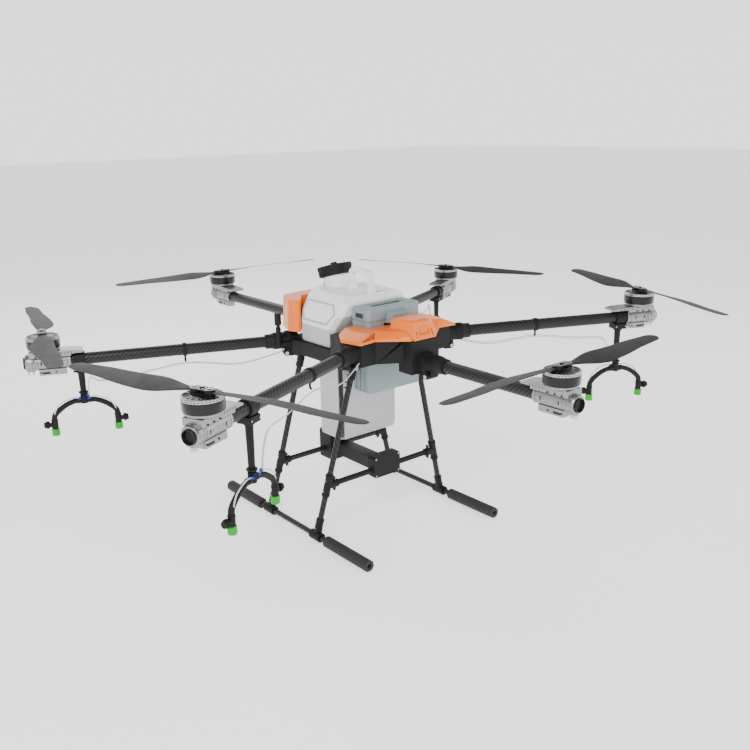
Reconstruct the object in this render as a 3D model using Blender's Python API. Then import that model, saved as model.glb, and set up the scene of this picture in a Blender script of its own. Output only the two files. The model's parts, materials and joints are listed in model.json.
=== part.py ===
"""Hexacopter crop-spraying drone: six folding arms, twelve folding blades, tank, battery and skid gear.

Metres, +Z up. The nose points along -Y, and "left" is the -X side. The ground is z = 0.
Arms are numbered round the frame: 1 front left, 2 rear left, 3 rear, 4 rear right, 5 front right, 6 front.
Each arm is built in its own frame: x runs outward along the tube, and x = 0 is the motor's axis.
"""
import math

import bmesh
import bpy
from mathutils import Matrix, Vector

# ---------------------------------------------------------------- driving dimensions
GAP = 0.0003                    # clearance between touching pieces
CENTRE_Y = 0.010                # shift that puts the whole machine over the origin
ROUND = 14                      # sides of the arm tube and of what is bored to fit it
TUBE_R = 0.0195                 # carbon arm tube
TUBE_WALL = 0.002
COLLAR_LENGTH = 0.058           # threaded locking collar
COLLAR_R = 0.029
HINGE_PLATE = 0.012             # plate between root face and collar
HINGE_DROP = 0.0415             # fold pin below the tube's axis
HINGE_R = 0.0105
PIN_R = 0.004
LUG_IN, LUG_OUT = 0.0118, 0.0225
TUBE_END = 0.066                # tube end outboard of the motor axis
MOTOR_R = 0.0518
CAN_LOW, CAN_HIGH = 0.0488, 0.0870
BLADE_PLANE = 0.0950
PROP_RADIUS = 0.457
BLADE_PIN = 0.0215              # fold pin from the motor's axis
BLADE_PIN_R = 0.003
BLADE_ROOT_T, BLADE_TIP_T = 0.007, 0.0024
LEG_R = 0.0098
SKID_R = 0.0095
SLEEVE_R = 0.0195
SKID_X, SKID_LENGTH, SLEEVE_IN = 0.282, 0.415, 0.195
SKID_MID_Y = 0.005
SKID_Z = SLEEVE_R * math.cos(math.pi / ROUND)   # the sleeves stand on a flat of their sides
JOINT_X, JOINT_Z = 0.2375, 0.190            # where each leg meets its crossbar
FOOT_Y = {-1: -0.134, 1: 0.144}             # the pair of front legs, the pair of rear legs
JOINT_Y = {-1: -0.144, 1: 0.136}
LEG_PAD = {-1: 0.590, 1: 0.575}             # underside of the frame's pads above the legs
FRONT_TOP, FRONT_LOW = 0.684, 0.610         # front deck of the frame
REAR_TOP, REAR_LOW = 0.6255, 0.578          # rear deck, under the tank's shoulders
WALL = 0.0035
BATTERY = ((-0.110, 0.110), (-0.217, -0.127), (0.492, 0.770))
TANK_LOW = ((-0.122, 0.130), (-0.076, 0.056), (0.296, 0.630))
TANK_NECK = Vector((0.0, 0.077, 0.785))
NECK_LEAN = math.radians(17)
NECK_R, CAP_R, CAP_H = 0.047, 0.0605, 0.036

# number: motor x, y, tube axis z, heading of the arm in degrees, motor axis to collar, boom inboard,
# boom drop, heading of the blades' line in degrees
ARMS = {
    1: (-0.870, -0.539, 0.6521, 203.9, 0.647, 0.175, 0.308, 110.0),
    2: (-0.894, 0.469, 0.6138, 157.6, 0.713, 0.104, 0.252, 73.5),
    3: (0.000, 0.881, 0.6521, 90.0, 0.600, None, None, 180.0),
    4: (0.894, 0.469, 0.6138, 22.4, 0.713, 0.104, 0.252, 106.5),
    5: (0.870, -0.539, 0.6521, -23.9, 0.647, 0.078, 0.300, 70.0),
    6: (0.000, -0.892, 0.6138, -90.0, 0.435, None, None, 0.0),
}

HOOKS = {1: -0.480, 2: -0.440, 4: -0.440, 5: -0.401}        # hose hook on the arm, from the motor's axis

FINISHES = {                    # colour, roughness, metallic
    "carbon": ((0.030, 0.031, 0.033), 0.45, 0.0),
    "frame_black": ((0.022, 0.023, 0.024), 0.55, 0.0),
    "orange": ((0.90, 0.20, 0.03), 0.40, 0.0),
    "battery_grey": ((0.33, 0.38, 0.40), 0.45, 0.0),
    "tank_white": ((0.82, 0.82, 0.83), 0.40, 0.0),
    "silver": ((0.55, 0.55, 0.56), 0.35, 0.9),
    "motor_black": ((0.012, 0.012, 0.013), 0.35, 0.0),
    "prop_grey": ((0.055, 0.056, 0.060), 0.40, 0.0),
    "rubber": ((0.018, 0.017, 0.020), 0.75, 0.0),
    "hose_clear": ((0.75, 0.76, 0.77), 0.25, 0.0),
}


# ---------------------------------------------------------------- making solids
def clear_scene():
    for obj in list(bpy.data.objects):
        bpy.data.objects.remove(obj, do_unlink=True)


def make_materials():
    made = {}
    for name, (colour, roughness, metallic) in FINISHES.items():
        material = bpy.data.materials.new(name)
        material.use_nodes = True
        shader = material.node_tree.nodes["Principled BSDF"]
        shader.inputs["Base Color"].default_value = (*colour, 1)
        shader.inputs["Roughness"].default_value = roughness
        shader.inputs["Metallic"].default_value = metallic
        made[name] = material
    return made


def closed(bm):
    bmesh.ops.recalc_face_normals(bm, faces=bm.faces)
    return bm


def loft(sections):
    """A closed solid through rings that have the same number of points."""
    bm = bmesh.new()
    rings = [[bm.verts.new(p) for p in ring] for ring in sections]
    count = len(rings[0])
    for low, high in zip(rings, rings[1:]):
        for i in range(count):
            j = (i + 1) % count
            bm.faces.new((low[i], low[j], high[j], high[i]))
    bm.faces.new(rings[0])
    bm.faces.new(rings[-1])
    return closed(bm)


def prism(points, low, high):
    return loft([[(x, y, z) for x, y in points] for z in (low, high)])


def box(xs, ys, zs):
    (x0, x1), (y0, y1), (z0, z1) = xs, ys, zs
    return prism([(x0, y0), (x1, y0), (x1, y1), (x0, y1)], z0, z1)


def chamfered(xs, ys, zs, cut):
    """A block whose four edges along Y are cut off by 45 degrees."""
    (x0, x1), (z0, z1) = xs, zs
    side = [(x0 + cut, z0), (x1 - cut, z0), (x1, z0 + cut), (x1, z1 - cut),
            (x1 - cut, z1), (x0 + cut, z1), (x0, z1 - cut), (x0, z0 + cut)]
    return loft([[(x, y, z) for x, z in side] for y in ys])


def circle(radius, count, turn=0.0):
    steps = [turn + 2 * math.pi * i / count for i in range(count)]
    return [(radius * math.cos(a), radius * math.sin(a)) for a in steps]


def turned(profile, count=16):
    """A solid of revolution about Z from (radius, height) points, bottom to top."""
    return loft([[(x, y, h) for x, y in circle(r, count)] for r, h in profile])


def along(bm, start, end):
    """Turn a solid made along +Z so that it runs from start towards end."""
    way = Vector(end) - Vector(start)
    turn = way.to_track_quat("Z", "Y").to_matrix().to_4x4()
    bmesh.ops.transform(bm, matrix=Matrix.Translation(start) @ turn, verts=bm.verts)
    return bm


def rod(start, end, radius, count=10, end_radius=None):
    length = (Vector(end) - Vector(start)).length
    top = radius if end_radius is None else end_radius
    return along(turned([(radius, 0), (top, length)], count), start, end)


def bent_rod(points, radii, count=8):
    """A solid swept along points, one radius for each."""
    points = [Vector(p) for p in points]
    sections = []
    side = None
    for i, point in enumerate(points):
        way = (points[min(i + 1, len(points) - 1)] - points[max(i - 1, 0)]).normalized()
        if side is None:
            side = way.orthogonal().normalized()
        side = (side - way * side.dot(way)).normalized()
        other = way.cross(side)
        sections.append([point + side * x + other * y for x, y in circle(radii[i], count)])
    return loft(sections)


def mirrored(points):
    """Both halves of an outline from its +X half, which runs front to back."""
    return points + [(-x, y) for x, y in reversed(points)]


def node(name, finish, base, adds=(), cuts=(), parent=None, origin=(0, 0, 0), sharp=35):
    """One named piece: a base solid, joined with others and cut by others."""
    def put(label, bm):
        bmesh.ops.translate(bm, verts=bm.verts, vec=-Vector(origin))
        mesh = bpy.data.meshes.new(label)
        bm.to_mesh(mesh)
        bm.free()
        obj = bpy.data.objects.new(label, mesh)
        bpy.context.scene.collection.objects.link(obj)
        obj.parent = parent or SITE
        obj.location = origin
        return obj

    piece = put(name, base)
    piece.data.materials.append(MATERIALS[finish])
    piece.data.shade_smooth()
    piece.data.set_sharp_from_angle(angle=math.radians(sharp))
    for operation, solids in (("UNION", adds), ("DIFFERENCE", cuts)):
        for i, bm in enumerate(solids):
            tool = put(f"{name}_{operation.lower()}_{i}", bm)
            tool.hide_render = True
            tool.display_type = "WIRE"
            cut = piece.modifiers.new(f"{operation.lower()}_{i}", "BOOLEAN")
            cut.operation = operation
            cut.solver = "EXACT"
            cut.object = tool
    return piece


def empty(name, matrix, parent=None):
    obj = bpy.data.objects.new(name, None)
    bpy.context.scene.collection.objects.link(obj)
    obj.parent = parent
    obj.matrix_local = matrix
    return obj


# ---------------------------------------------------------------- frame, covers
def arm_matrix(number):
    x, y, z, heading = ARMS[number][:4]
    return Matrix.Translation((x, y, z)) @ Matrix.Rotation(math.radians(heading), 4, "Z")


def root_face(number):
    """Where the arm's root meets the frame, along the arm's own x."""
    return -(ARMS[number][4] + COLLAR_LENGTH + HINGE_PLATE)


def root_solids(number):
    """The frame's side of a folding joint: a tapered socket block, two lugs and the fold pin."""
    face = root_face(number)
    depth = 0.075 if number in (1, 5, 6) else 0.042
    sections = []
    for x, half, high, low in ((face - depth, 0.034, 0.031, 0.033), (face - 0.02, 0.031, 0.030, 0.031),
                               (face, 0.029, 0.029, 0.0285)):
        cut = half * 0.42
        sections.append([(x, half, -low + cut), (x, half, high - cut), (x, half - cut, high),
                         (x, cut - half, high), (x, -half, high - cut), (x, -half, -low + cut),
                         (x, cut - half, -low), (x, half - cut, -low)])
    solids = [loft(sections)]
    lug = [(face - 0.030, -0.024), (face - 0.026, -HINGE_DROP - HINGE_R)]
    lug += [(face + HINGE_R * math.sin(a), -HINGE_DROP - HINGE_R * math.cos(a))
            for a in (0, 0.6, 1.2, 1.8, 2.4, 3.1)]
    lug += [(face - 0.001, -0.024)]
    for inner, outer in ((-LUG_OUT, -LUG_IN), (LUG_IN, LUG_OUT)):
        solids.append(loft([[(x, y, z) for x, z in lug] for y in (inner, outer)]))
    solids.append(rod((face, -LUG_OUT - 0.003, -HINGE_DROP), (face, LUG_OUT + 0.003, -HINGE_DROP), PIN_R, 8))
    for bm in solids:
        bmesh.ops.transform(bm, matrix=arm_matrix(number), verts=bm.verts)
    return solids


def make_frame():
    front = mirrored([(0.046, -0.330), (0.1305, -0.275), (0.188, -0.276), (0.216, -0.209), (0.176, -0.100)])
    rear = mirrored([(0.168, -0.128), (0.168, 0.070), (0.177, 0.1175), (0.156, 0.170), (0.040, 0.186)])
    front_inside = mirrored([(0.044, -0.318), (0.129, -0.268), (0.184, -0.266), (0.206, -0.207),
                             (0.160, -0.112)])
    rear_inside = mirrored([(0.160, -0.111), (0.160, 0.070), (0.166, 0.113), (0.146, 0.162), (0.045, 0.176)])
    adds = [prism(rear, REAR_LOW, REAR_TOP),
            box((-0.058, 0.058), (-0.362, -0.300), (0.578, FRONT_TOP - 0.001)),
            box((-0.045, 0.045), (0.150, 0.205), (0.622, 0.682))]
    for side in (-1, 1):
        xs = sorted((side * 0.112, side * 0.160))
        adds.append(box(xs, (-0.190, -0.146), (LEG_PAD[-1], 0.630)))
        adds.append(box(xs, (0.094, 0.142), (LEG_PAD[1], 0.592)))
    for number in ARMS:
        adds += root_solids(number)
    (bx, by, bz), (tx, ty, tz) = BATTERY, TANK_LOW
    slack = 0.0012
    cuts = [prism(front_inside, FRONT_LOW + WALL, FRONT_TOP - WALL),
            prism(rear_inside, REAR_LOW + WALL, REAR_TOP - WALL),
            box((bx[0] - slack, bx[1] + slack), (by[0] - slack, by[1] + slack), (0.40, 0.80)),
            box((tx[0] - slack, tx[1] + slack), (ty[0] - slack, ty[1] + slack), (0.40, 0.80))]
    return node("main_frame", "frame_black", prism(front, FRONT_LOW, FRONT_TOP), adds, cuts)


def make_front_cover():
    floor = FRONT_TOP + GAP
    plate = mirrored([(0.052, -0.356), (0.137, -0.283), (0.203, -0.291), (0.218, -0.214), (0.178, -0.150)])
    top = mirrored([(0.052, -0.330), (0.118, -0.262), (0.152, -0.280), (0.170, -0.205), (0.152, -0.152)])
    body = loft([[(x, y, floor) for x, y in plate],
                 [(x * 0.985, y + 0.004, floor + 0.008) for x, y in plate],
                 [(x, y, 0.712) for x, y in top]])
    nose = loft([[(x, y, z) for x, y in mirrored([(0.046 - t, -0.362 + 1.6 * t), (0.066 - t, -0.262)])]
                 for z, t in ((floor, 0.0), (0.700, 0.001), (0.738, 0.012), (0.744, 0.018))])
    panel = box((-0.022, 0.022), (-0.40, -0.3505), (0.700, 0.728))
    slots = [box((side * 0.032 - 0.002, side * 0.032 + 0.002), (-0.40, -0.3495), (0.694, 0.712))
             for side in (-1, 1)]
    bay = box((-0.1125, 0.1125), (-0.2195, 0.0), (0.60, 0.80))
    hollow = loft([[(x * 0.94, y + 0.006, z) for x, y in plate] for z in (0.60, 0.6935)])
    hollow_nose = box((-0.036, 0.036), (-0.335, -0.262), (0.60, 0.734))
    return node("front_cover", "orange", body, [nose], [panel, *slots, bay, hollow, hollow_nose])


def make_rear_cover():
    low, high, lean = 0.6565, 0.766, 0.005
    outer = [(0.172, 0.084), (0.186, 0.125), (0.148, 0.212), (0.085, 0.2215)]    # clear of arm 3's collar
    inner = [(-0.1585, 0.084), (-0.104, 0.152), (0.104, 0.152), (0.1585, 0.084)]
    around = outer + [(-x, y) for x, y in reversed(outer)]
    body = loft([[(x, y, low) for x, y in around + inner],
                 [(x - math.copysign(lean, x), y - lean / 2, high)
                  for x, y in around] + [(x, y, high) for x, y in inner]])
    hollow = prism(mirrored([(0.103, 0.160), (0.161, 0.094), (0.1675, 0.094), (0.177, 0.126),
                             (0.143, 0.205), (0.083, 0.2145)]),
                   0.60, high - 0.004)
    notch = box((-0.0465, 0.0465), (0.10, 0.30), (0.60, 0.6835))
    slots = [box((side * 0.120 - 0.0025, side * 0.120 + 0.0025), (0.16, 0.26), (0.664, 0.678))
             for side in (-1, 1)]
    return node("rear_cover", "orange", body, [], [hollow, notch, *slots])


# ---------------------------------------------------------------- battery and tank
def make_battery():
    (x0, x1), (y0, y1), (z0, z1) = BATTERY
    c = 0.008
    plan = [(x0 + c, y0), (x1 - c, y0), (x1, y0 + c), (x1, y1 - c), (x1 - c, y1), (x0 + c, y1), (x0, y1 - c),
            (x0, y0 + c)]
    inset = [(x * 0.97, y0 + 0.003 + (y - y0) * 0.93) for x, y in plan]
    body = loft([[(x, y, z0) for x, y in plan], [(x, y, z1 - 0.006) for x, y in plan],
                 [(x, y, z1) for x, y in inset]])
    grip = box((-0.062, 0.072), (-0.182, -0.150), (z1 - 0.030, z1 + 0.01))
    window = box((x0 - 0.01, x0 + 0.0015), (-0.190, -0.152), (0.738, 0.752))
    ribs = [box((x0 - 0.01, x0 + 0.004), (y - 0.0045, y + 0.0045), (0.48, 0.600))
            for y in (-0.192, -0.171, -0.150)]
    lip = box((-0.045, 0.060), (y0 - 0.01, y0 + 0.006), (0.702, 0.7175))
    node("battery", "battery_grey", body, [], [grip, window, *ribs, lip])
    wedge = loft([[(x, y, z) for x, z in ((-0.040, 0.7185), (0.050, 0.7185), (0.056, 0.732), (0.040, 0.757),
                                          (-0.034, 0.757))]
                  for y in (y0 - GAP, y0 - 0.024)])
    bmesh.ops.scale(wedge, vec=(0.86, 1, 0.8), verts=[v for v in wedge.verts if v.co.y < y0 - 0.01],
                    space=Matrix.Translation((-0.005, 0, -0.724)))
    node("battery_plug", "battery_grey", wedge)


def neck_matrix():
    return Matrix.Translation(TANK_NECK) @ Matrix.Rotation(-NECK_LEAN, 4, "X")


def make_tank():
    (x0, x1), (y0, y1), (z0, z1) = TANK_LOW
    c = 0.016
    plan = [(x0 + c, y0), (x1 - c, y0), (x1, y0 + c), (x1, y1 - c), (x1 - c, y1), (x0 + c, y1), (x0, y1 - c),
            (x0, y0 + c)]
    low = loft([[(x * 0.97, y * 0.96, z0) for x, y in plan], [(x, y, z0 + 0.012) for x, y in plan],
                [(x, y, z1 + 0.02) for x, y in plan]])

    def shoulder(half, front, rear, z):
        return [(x, y, z) for x, y in mirrored([(half - 0.018, front), (half, front + 0.018),
                                               (half, rear - 0.066), (half - 0.056, rear)])]

    upper = loft([shoulder(0.154, -0.078, 0.146, REAR_TOP + GAP), shoulder(0.157, -0.081, 0.149, 0.634),
                  shoulder(0.157, -0.083, 0.149, 0.688), shoulder(0.153, -0.122, 0.147, 0.735),
                  shoulder(0.132, -0.123, 0.143, 0.778), shoulder(0.100, -0.108, 0.130, 0.796)])
    neck = turned([(NECK_R + 0.004, -0.045), (NECK_R, 0.020), (NECK_R, 0.046)], 20)
    bmesh.ops.transform(neck, matrix=neck_matrix(), verts=neck.verts)
    handle = bent_rod([(0, 0.000, 0.780), (0, 0.000, 0.850), (0, -0.010, 0.862), (0, -0.040, 0.863),
                       (0, -0.082, 0.860),
                       (0, -0.094, 0.850), (0, -0.100, 0.780)], [0.0085] * 7, 8)
    hollow_low = box((x0 + 0.004, x1 - 0.004), (y0 + 0.004, y1 - 0.004), (z0 + 0.006, 0.66))
    hollow_high = loft([shoulder(0.148, -0.074, 0.142, 0.632), shoulder(0.150, -0.078, 0.142, 0.690),
                        shoulder(0.128, -0.110, 0.136, 0.774)])
    bore = rod((0, 0, -0.06), (0, 0, 0.06), NECK_R - 0.005, 20)
    bmesh.ops.transform(bore, matrix=neck_matrix(), verts=bore.verts)
    node("tank", "tank_white", low, [upper, neck, handle], [hollow_low, hollow_high, bore])
    cap = turned([(CAP_R - 0.006, 0.0465), (CAP_R - 0.003, 0.050), (CAP_R - 0.003, 0.0465 + CAP_H * 0.45),
                  (CAP_R, 0.0465 + CAP_H * 0.55), (CAP_R, 0.0465 + CAP_H - 0.002),
                  (CAP_R - 0.002, 0.0465 + CAP_H)], 20)
    knob = turned([(0.012, 0.0465 + CAP_H - 0.002), (0.011, 0.0465 + CAP_H + 0.009)], 10)
    root = empty("cap_axis", neck_matrix(), SITE)
    node("filler_cap", "frame_black", cap, [knob], parent=root)


# ---------------------------------------------------------------- landing gear and underbody
def make_gear():
    for side, word in ((-1, "left"), (1, "right")):
        x = side * SKID_X

        def at(y):
            return (x, SKID_MID_Y + y, SKID_Z)

        sleeves = [rod(at(s * SLEEVE_IN), at(s * SKID_LENGTH), SLEEVE_R, ROUND) for s in (-1, 1)]
        bores = [rod(at(s * (SKID_LENGTH - 0.02)), at(s * (SKID_LENGTH + 0.01)), 0.0075, 8) for s in (-1, 1)]
        tube = rod(at(0.03 - SKID_LENGTH), at(SKID_LENGTH - 0.03), SKID_R, 12)
        node(f"skid_{word}", "rubber", tube, sleeves, bores)
    for sx, wx in ((-1, "left"), (1, "right")):
        for sy, wy in ((-1, "front"), (1, "rear")):
            make_leg(sx, sy, f"leg_{wy}_{wx}")
    node("crossbar_rear", "carbon", crossbar(1))


def crossbar(sy):
    """The tube that joins two legs. The front one is bonded into the spine beam."""
    half = JOINT_X - 0.036
    return rod((-half, JOINT_Y[sy], JOINT_Z), (half, JOINT_Y[sy], JOINT_Z), LEG_R, 12)


def make_leg(sx, sy, name):
    foot = Vector((sx * SKID_X, FOOT_Y[sy], SKID_Z))
    joint = Vector((sx * JOINT_X, JOINT_Y[sy], JOINT_Z))
    way = (joint - foot).normalized()
    deck = LEG_PAD[sy]
    top = joint + way * ((deck - GAP - 0.005 - joint.z) / way.z)
    tube = rod(foot + way * 0.012, top, LEG_R)
    x, y, z = foot
    adds = [rod((x, y - 0.026, z), (x, y + 0.026, z), 0.0165, 12),
            rod(foot + way * 0.010, foot + way * 0.060, 0.0145, 8, 0.0125),
            rod(joint - way * 0.040, joint + way * 0.040, 0.0130, 8),
            rod(joint, joint + Vector((-sx * 0.040, 0, 0)), 0.0140, 12),
            box(sorted((joint.x - sx * 0.024, joint.x - sx * 0.030)), (joint.y - 0.006, joint.y + 0.006),
                (joint.z - 0.024, joint.z + 0.024)),
            rod(top - way * 0.045, top, 0.0135, 8),
            box((top.x - 0.021, top.x + 0.021), (top.y - 0.018, top.y + 0.018),
                (deck - GAP - 0.009, deck - GAP))]
    socket = rod((joint.x - sx * 0.060, joint.y, joint.z), (joint.x - sx * 0.035, joint.y, joint.z),
                 LEG_R + GAP, 12)
    cuts = [rod((x, y - 0.04, z), (x, y + 0.04, z), SKID_R + GAP, 12), socket]
    node(name, "carbon", tube, adds, cuts)


def make_underbody():
    front, rear = JOINT_Y[-1], JOINT_Y[1]
    cube = chamfered((-0.053, 0.064), (front - 0.018, front + 0.018), (0.163, 0.240), 0.008)
    beam = box((-0.026, 0.026), (front + 0.010, rear - 0.0393), (0.176, 0.220))
    node("spine_beam", "frame_black", cube, [beam, crossbar(-1)])
    pump = chamfered((-0.044, 0.042), (rear - 0.039, rear + 0.029), (0.150, 0.262), 0.006)
    through = rod((-0.2, rear, JOINT_Z), (0.2, rear, JOINT_Z), LEG_R + GAP, 12)
    node("pump_housing", "frame_black", pump, [], [through])


# ---------------------------------------------------------------- arms
def make_arm(number):
    heading, reach, boom_at, boom_drop, blades_at = ARMS[number][3:]
    face = root_face(number)
    at = empty(f"arm_{number}_frame", arm_matrix(number), SITE)
    tube = rod((face + 0.004, 0, 0), (TUBE_END, 0, 0), TUBE_R, ROUND)
    plate = rod((face + GAP, 0, 0), (face + HINGE_PLATE - GAP, 0, 0), COLLAR_R, 16)
    barrel = rod((face, -LUG_IN + 0.0006, -HINGE_DROP), (face, LUG_IN - 0.0006, -HINGE_DROP), HINGE_R, 12)
    web = box((face + 0.001, face + 0.0105), (-LUG_IN + 0.0012, LUG_IN - 0.0012), (-HINGE_DROP, -0.022))
    bore = rod((face + 0.030, 0, 0), (TUBE_END + 0.01, 0, 0), TUBE_R - TUBE_WALL, ROUND)
    clear = PIN_R / math.cos(math.pi / 8) + GAP          # the pin's corners turn inside the bore's flats
    pin = rod((face, -0.02, -HINGE_DROP), (face, 0.02, -HINGE_DROP), clear, 8)
    adds = [plate, barrel, web]
    if boom_at is not None:
        hook_at = HOOKS[number]
        adds.append(rod((hook_at - 0.006, 0, 0), (hook_at + 0.006, 0, 0), TUBE_R + 0.0035, ROUND))
        adds.append(bent_rod([(hook_at, 0, 0.003 - TUBE_R), (hook_at, 0, -0.036), (hook_at, 0.006, -0.040)],
                             [0.004, 0.004, 0.003], 6))
    node(f"arm_{number}_tube", "carbon", tube, adds, [bore, pin], at, (face, 0, -HINGE_DROP))
    make_collar(number, at, reach)
    make_mount(number, at)
    make_rotor(number, at, blades_at - heading)
    if boom_at is not None:
        make_boom(number, at, boom_at, boom_drop)
        make_hose(number, at, face, hook_at, boom_at, boom_drop)


def make_collar(number, at, reach):
    low, high = -reach - COLLAR_LENGTH, -reach
    profile = [(COLLAR_R - 0.001, 0.0), (COLLAR_R, 0.004), (COLLAR_R, 0.030), (COLLAR_R - 0.003, 0.034),
               (COLLAR_R - 0.005, COLLAR_LENGTH)]
    body = along(turned(profile, ROUND), (low, 0, 0), (high, 0, 0))
    bore = rod((low - 0.01, 0, 0), (high + 0.01, 0, 0), TUBE_R + 2 * GAP, ROUND)
    node(f"collar_{number}", "frame_black", body, [], [bore], at, (low, 0, 0))


def make_mount(number, at):
    """Silver tube clamp, speed-controller block under the motor, its base flange and the tube's end ring."""
    boom_at = ARMS[number][5] or 1
    inboard = min(0.080, boom_at - 0.026)
    clamp = rod((-inboard, 0, 0), (0.034, 0, 0), 0.0248, ROUND)
    side = [(-0.118, 0.0275), (-inboard - 0.003, 0.0275), (-inboard - 0.003, 0.014), (0.046, 0.014),
            (0.046, 0.040),
            (-0.030, 0.040), (-0.100, 0.0375), (-0.118, 0.033)]
    block = loft([[(x, y, z) for x, z in side] for y in (-0.029, 0.029)])
    flange = turned([(0.040, 0.036), (0.0480, 0.042), (0.0480, CAN_LOW - GAP)])
    ring = along(turned([(0.0265, 0.0), (0.0285, 0.004), (0.0285, 0.024), (0.0250, 0.030)], ROUND),
                 (0.030, 0, 0), (0.060, 0, 0))
    plate = box((0.016 - inboard, 0.022), (-0.015, 0.015), (-0.042, -0.015))
    bore = rod((-0.13, 0, 0), (TUBE_END + 0.004, 0, 0), TUBE_R + GAP, ROUND)
    node(f"mount_{number}", "silver", clamp, [block, flange, ring, plate], [bore], at, sharp=30)


def make_rotor(number, at, angle):
    """The motor's turning can with its hub plates, and two blades on upright pins."""
    spin = number % 2 * 2 - 1
    turn = empty(f"rotor_{number}_axis", Matrix.Rotation(math.radians(angle), 4, "Z"), at)
    can = turned([(MOTOR_R - 0.002, CAN_LOW), (MOTOR_R, CAN_LOW + 0.002), (MOTOR_R, CAN_HIGH - 0.003),
                  (0.030, CAN_HIGH)])
    low, high = BLADE_PLANE - BLADE_ROOT_T / 2 - GAP, BLADE_PLANE + BLADE_ROOT_T / 2 + GAP
    outline = [(0.037, 0.0), (0.024, 0.0145), (-0.024, 0.0145), (-0.037, 0.0), (-0.024, -0.0145),
               (0.024, -0.0145)]
    plates = [prism(outline, CAN_HIGH - 0.001, low), prism(outline, high, high + 0.003)]
    post = rod((0, 0, low - 0.002), (0, 0, high + 0.007), 0.0060, 6)
    pins = [rod((s * BLADE_PIN, 0, low - 0.002), (s * BLADE_PIN, 0, high + 0.005), BLADE_PIN_R, 6)
            for s in (-1, 1)]
    node(f"rotor_{number}", "motor_black", can, [*plates, post, *pins], [], turn)
    for s, letter in ((1, "a"), (-1, "b")):
        make_blade(f"blade_{number}{letter}", turn, s, spin)


def blade_section(t, spin):
    """Chord, sweep, twist and thickness at a fraction t of the blade's length, as a closed ring of points."""
    chord = 0.024 + 0.050 * math.sin(min(t / 0.30, 1.0) * math.pi / 2) ** 1.5 - 0.046 * max(t - 0.30, 0) ** 1.15
    if t > 0.93:
        chord *= math.sqrt(max(1 - ((t - 0.93) / 0.075) ** 2, 0.06))
    sweep = 0.010 * math.sin(math.pi * min(t / 0.7, 1)) - 0.016 * t ** 2
    twist = math.radians(15) * math.sin(min(t / 0.25, 1) * math.pi / 2) * (1 - 0.62 * t)
    thick = BLADE_TIP_T + (BLADE_ROOT_T - 0.0008 - BLADE_TIP_T) * (1 - min(t / 0.35, 1))
    ring = []
    for u, v in ((-0.5, 0.0), (-0.30, 0.50), (0.15, 0.45), (0.5, 0.05), (0.1, -0.35), (-0.32, -0.40)):
        across, up = u * chord, v * thick
        ring.append((sweep + across * math.cos(twist) - up * math.sin(twist),
                     -across * math.sin(twist) + up * math.cos(twist)))
    return [(spin * a, h) for a, h in ring]


def make_blade(name, turn, side, spin):
    length = PROP_RADIUS - BLADE_PIN
    stations = [0.0, 0.07, 0.16, 0.30, 0.54, 0.80, 0.95, 1.0]
    sections = []
    for t in stations:
        x = side * (BLADE_PIN + 0.006 + t * (length - 0.006))
        sections.append([(x, side * a, BLADE_PLANE + h) for a, h in blade_section(t, spin)])
    body = loft(sections)
    half = BLADE_ROOT_T / 2
    root = rod((side * BLADE_PIN, 0, BLADE_PLANE - half), (side * BLADE_PIN, 0, BLADE_PLANE + half), 0.0128,
               10)
    pin = rod((side * BLADE_PIN, 0, BLADE_PLANE - 0.02), (side * BLADE_PIN, 0, BLADE_PLANE + 0.02),
              BLADE_PIN_R + 2 * GAP, 6)
    node(name, "prop_grey", body, [root], [pin], turn, (side * BLADE_PIN, 0, BLADE_PLANE))


def make_boom(number, at, boom_at, drop):
    """A spray boom: clamp, tapered rod, tee, two arched arms and a nozzle at each end."""
    x = -boom_at
    tee = -drop + 0.118
    clamp = rod((x - 0.017, 0, 0), (x + 0.017, 0, 0), 0.0260, ROUND)
    block = box((x - 0.024, x + 0.024), (-0.022, 0.022), (-0.040, -0.012))
    adds = [block, rod((x, 0, -0.030), (x, 0, tee - 0.004), 0.0115, 8, 0.0090),
            rod((x, 0, tee + 0.018), (x, 0, tee + 0.024), 0.0155, 8),
            rod((x, 0, tee - 0.016), (x, 0, tee + 0.014), 0.0125, 8)]
    for s in (-1, 1):
        span = 0.100 * s
        route = [(x, 0, tee - 0.006), (x + 0.25 * span, 0, tee - 0.006), (x + 0.55 * span, 0, tee - 0.016),
                 (x + 0.82 * span, 0, tee - 0.034), (x + 0.97 * span, 0, tee - 0.050),
                 (x + span, 0, tee - 0.066)]
        adds.append(bent_rod(route, [0.0088, 0.0088, 0.0088, 0.0092, 0.0096, 0.0096], 6))
        end = x + span
        base = -drop
        adds += [rod((end, 0, base + 0.020), (end, 0, base + 0.056), 0.0105, 8),
                 along(turned([(0.0118, 0.0), (0.0135, 0.004), (0.0130, 0.024)], 8), (end, 0, base),
                       (end, 0, base + 0.024)),
                 rod((end, 0, base + 0.036), (end + s * 0.022, 0, base + 0.038), 0.0080, 6),
                 rod((end + s * 0.017, 0, base + 0.038), (end + s * 0.034, 0, base + 0.039), 0.0130, 8,
                     0.0095)]
    bore = rod((x - 0.03, 0, 0), (x + 0.03, 0, 0), TUBE_R + GAP, ROUND)
    node(f"boom_{number}", "frame_black", clamp, adds, [bore], at)


def smooth_route(points, steps):
    """Points on a smooth curve through the given ones."""
    points = [Vector(p) for p in points]
    ends = [2 * points[0] - points[1]] + points + [2 * points[-1] - points[-2]]
    out = []
    for a, b, c, d in zip(ends, ends[1:], ends[2:], ends[3:]):
        for i in range(steps):
            t = i / steps
            out.append(0.5 * (2 * b + (c - a) * t + (2 * a - 5 * b + 4 * c - d) * t ** 2
                              + (3 * b - a - 3 * c + d) * t ** 3))
    return out + [points[-1]]


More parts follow.
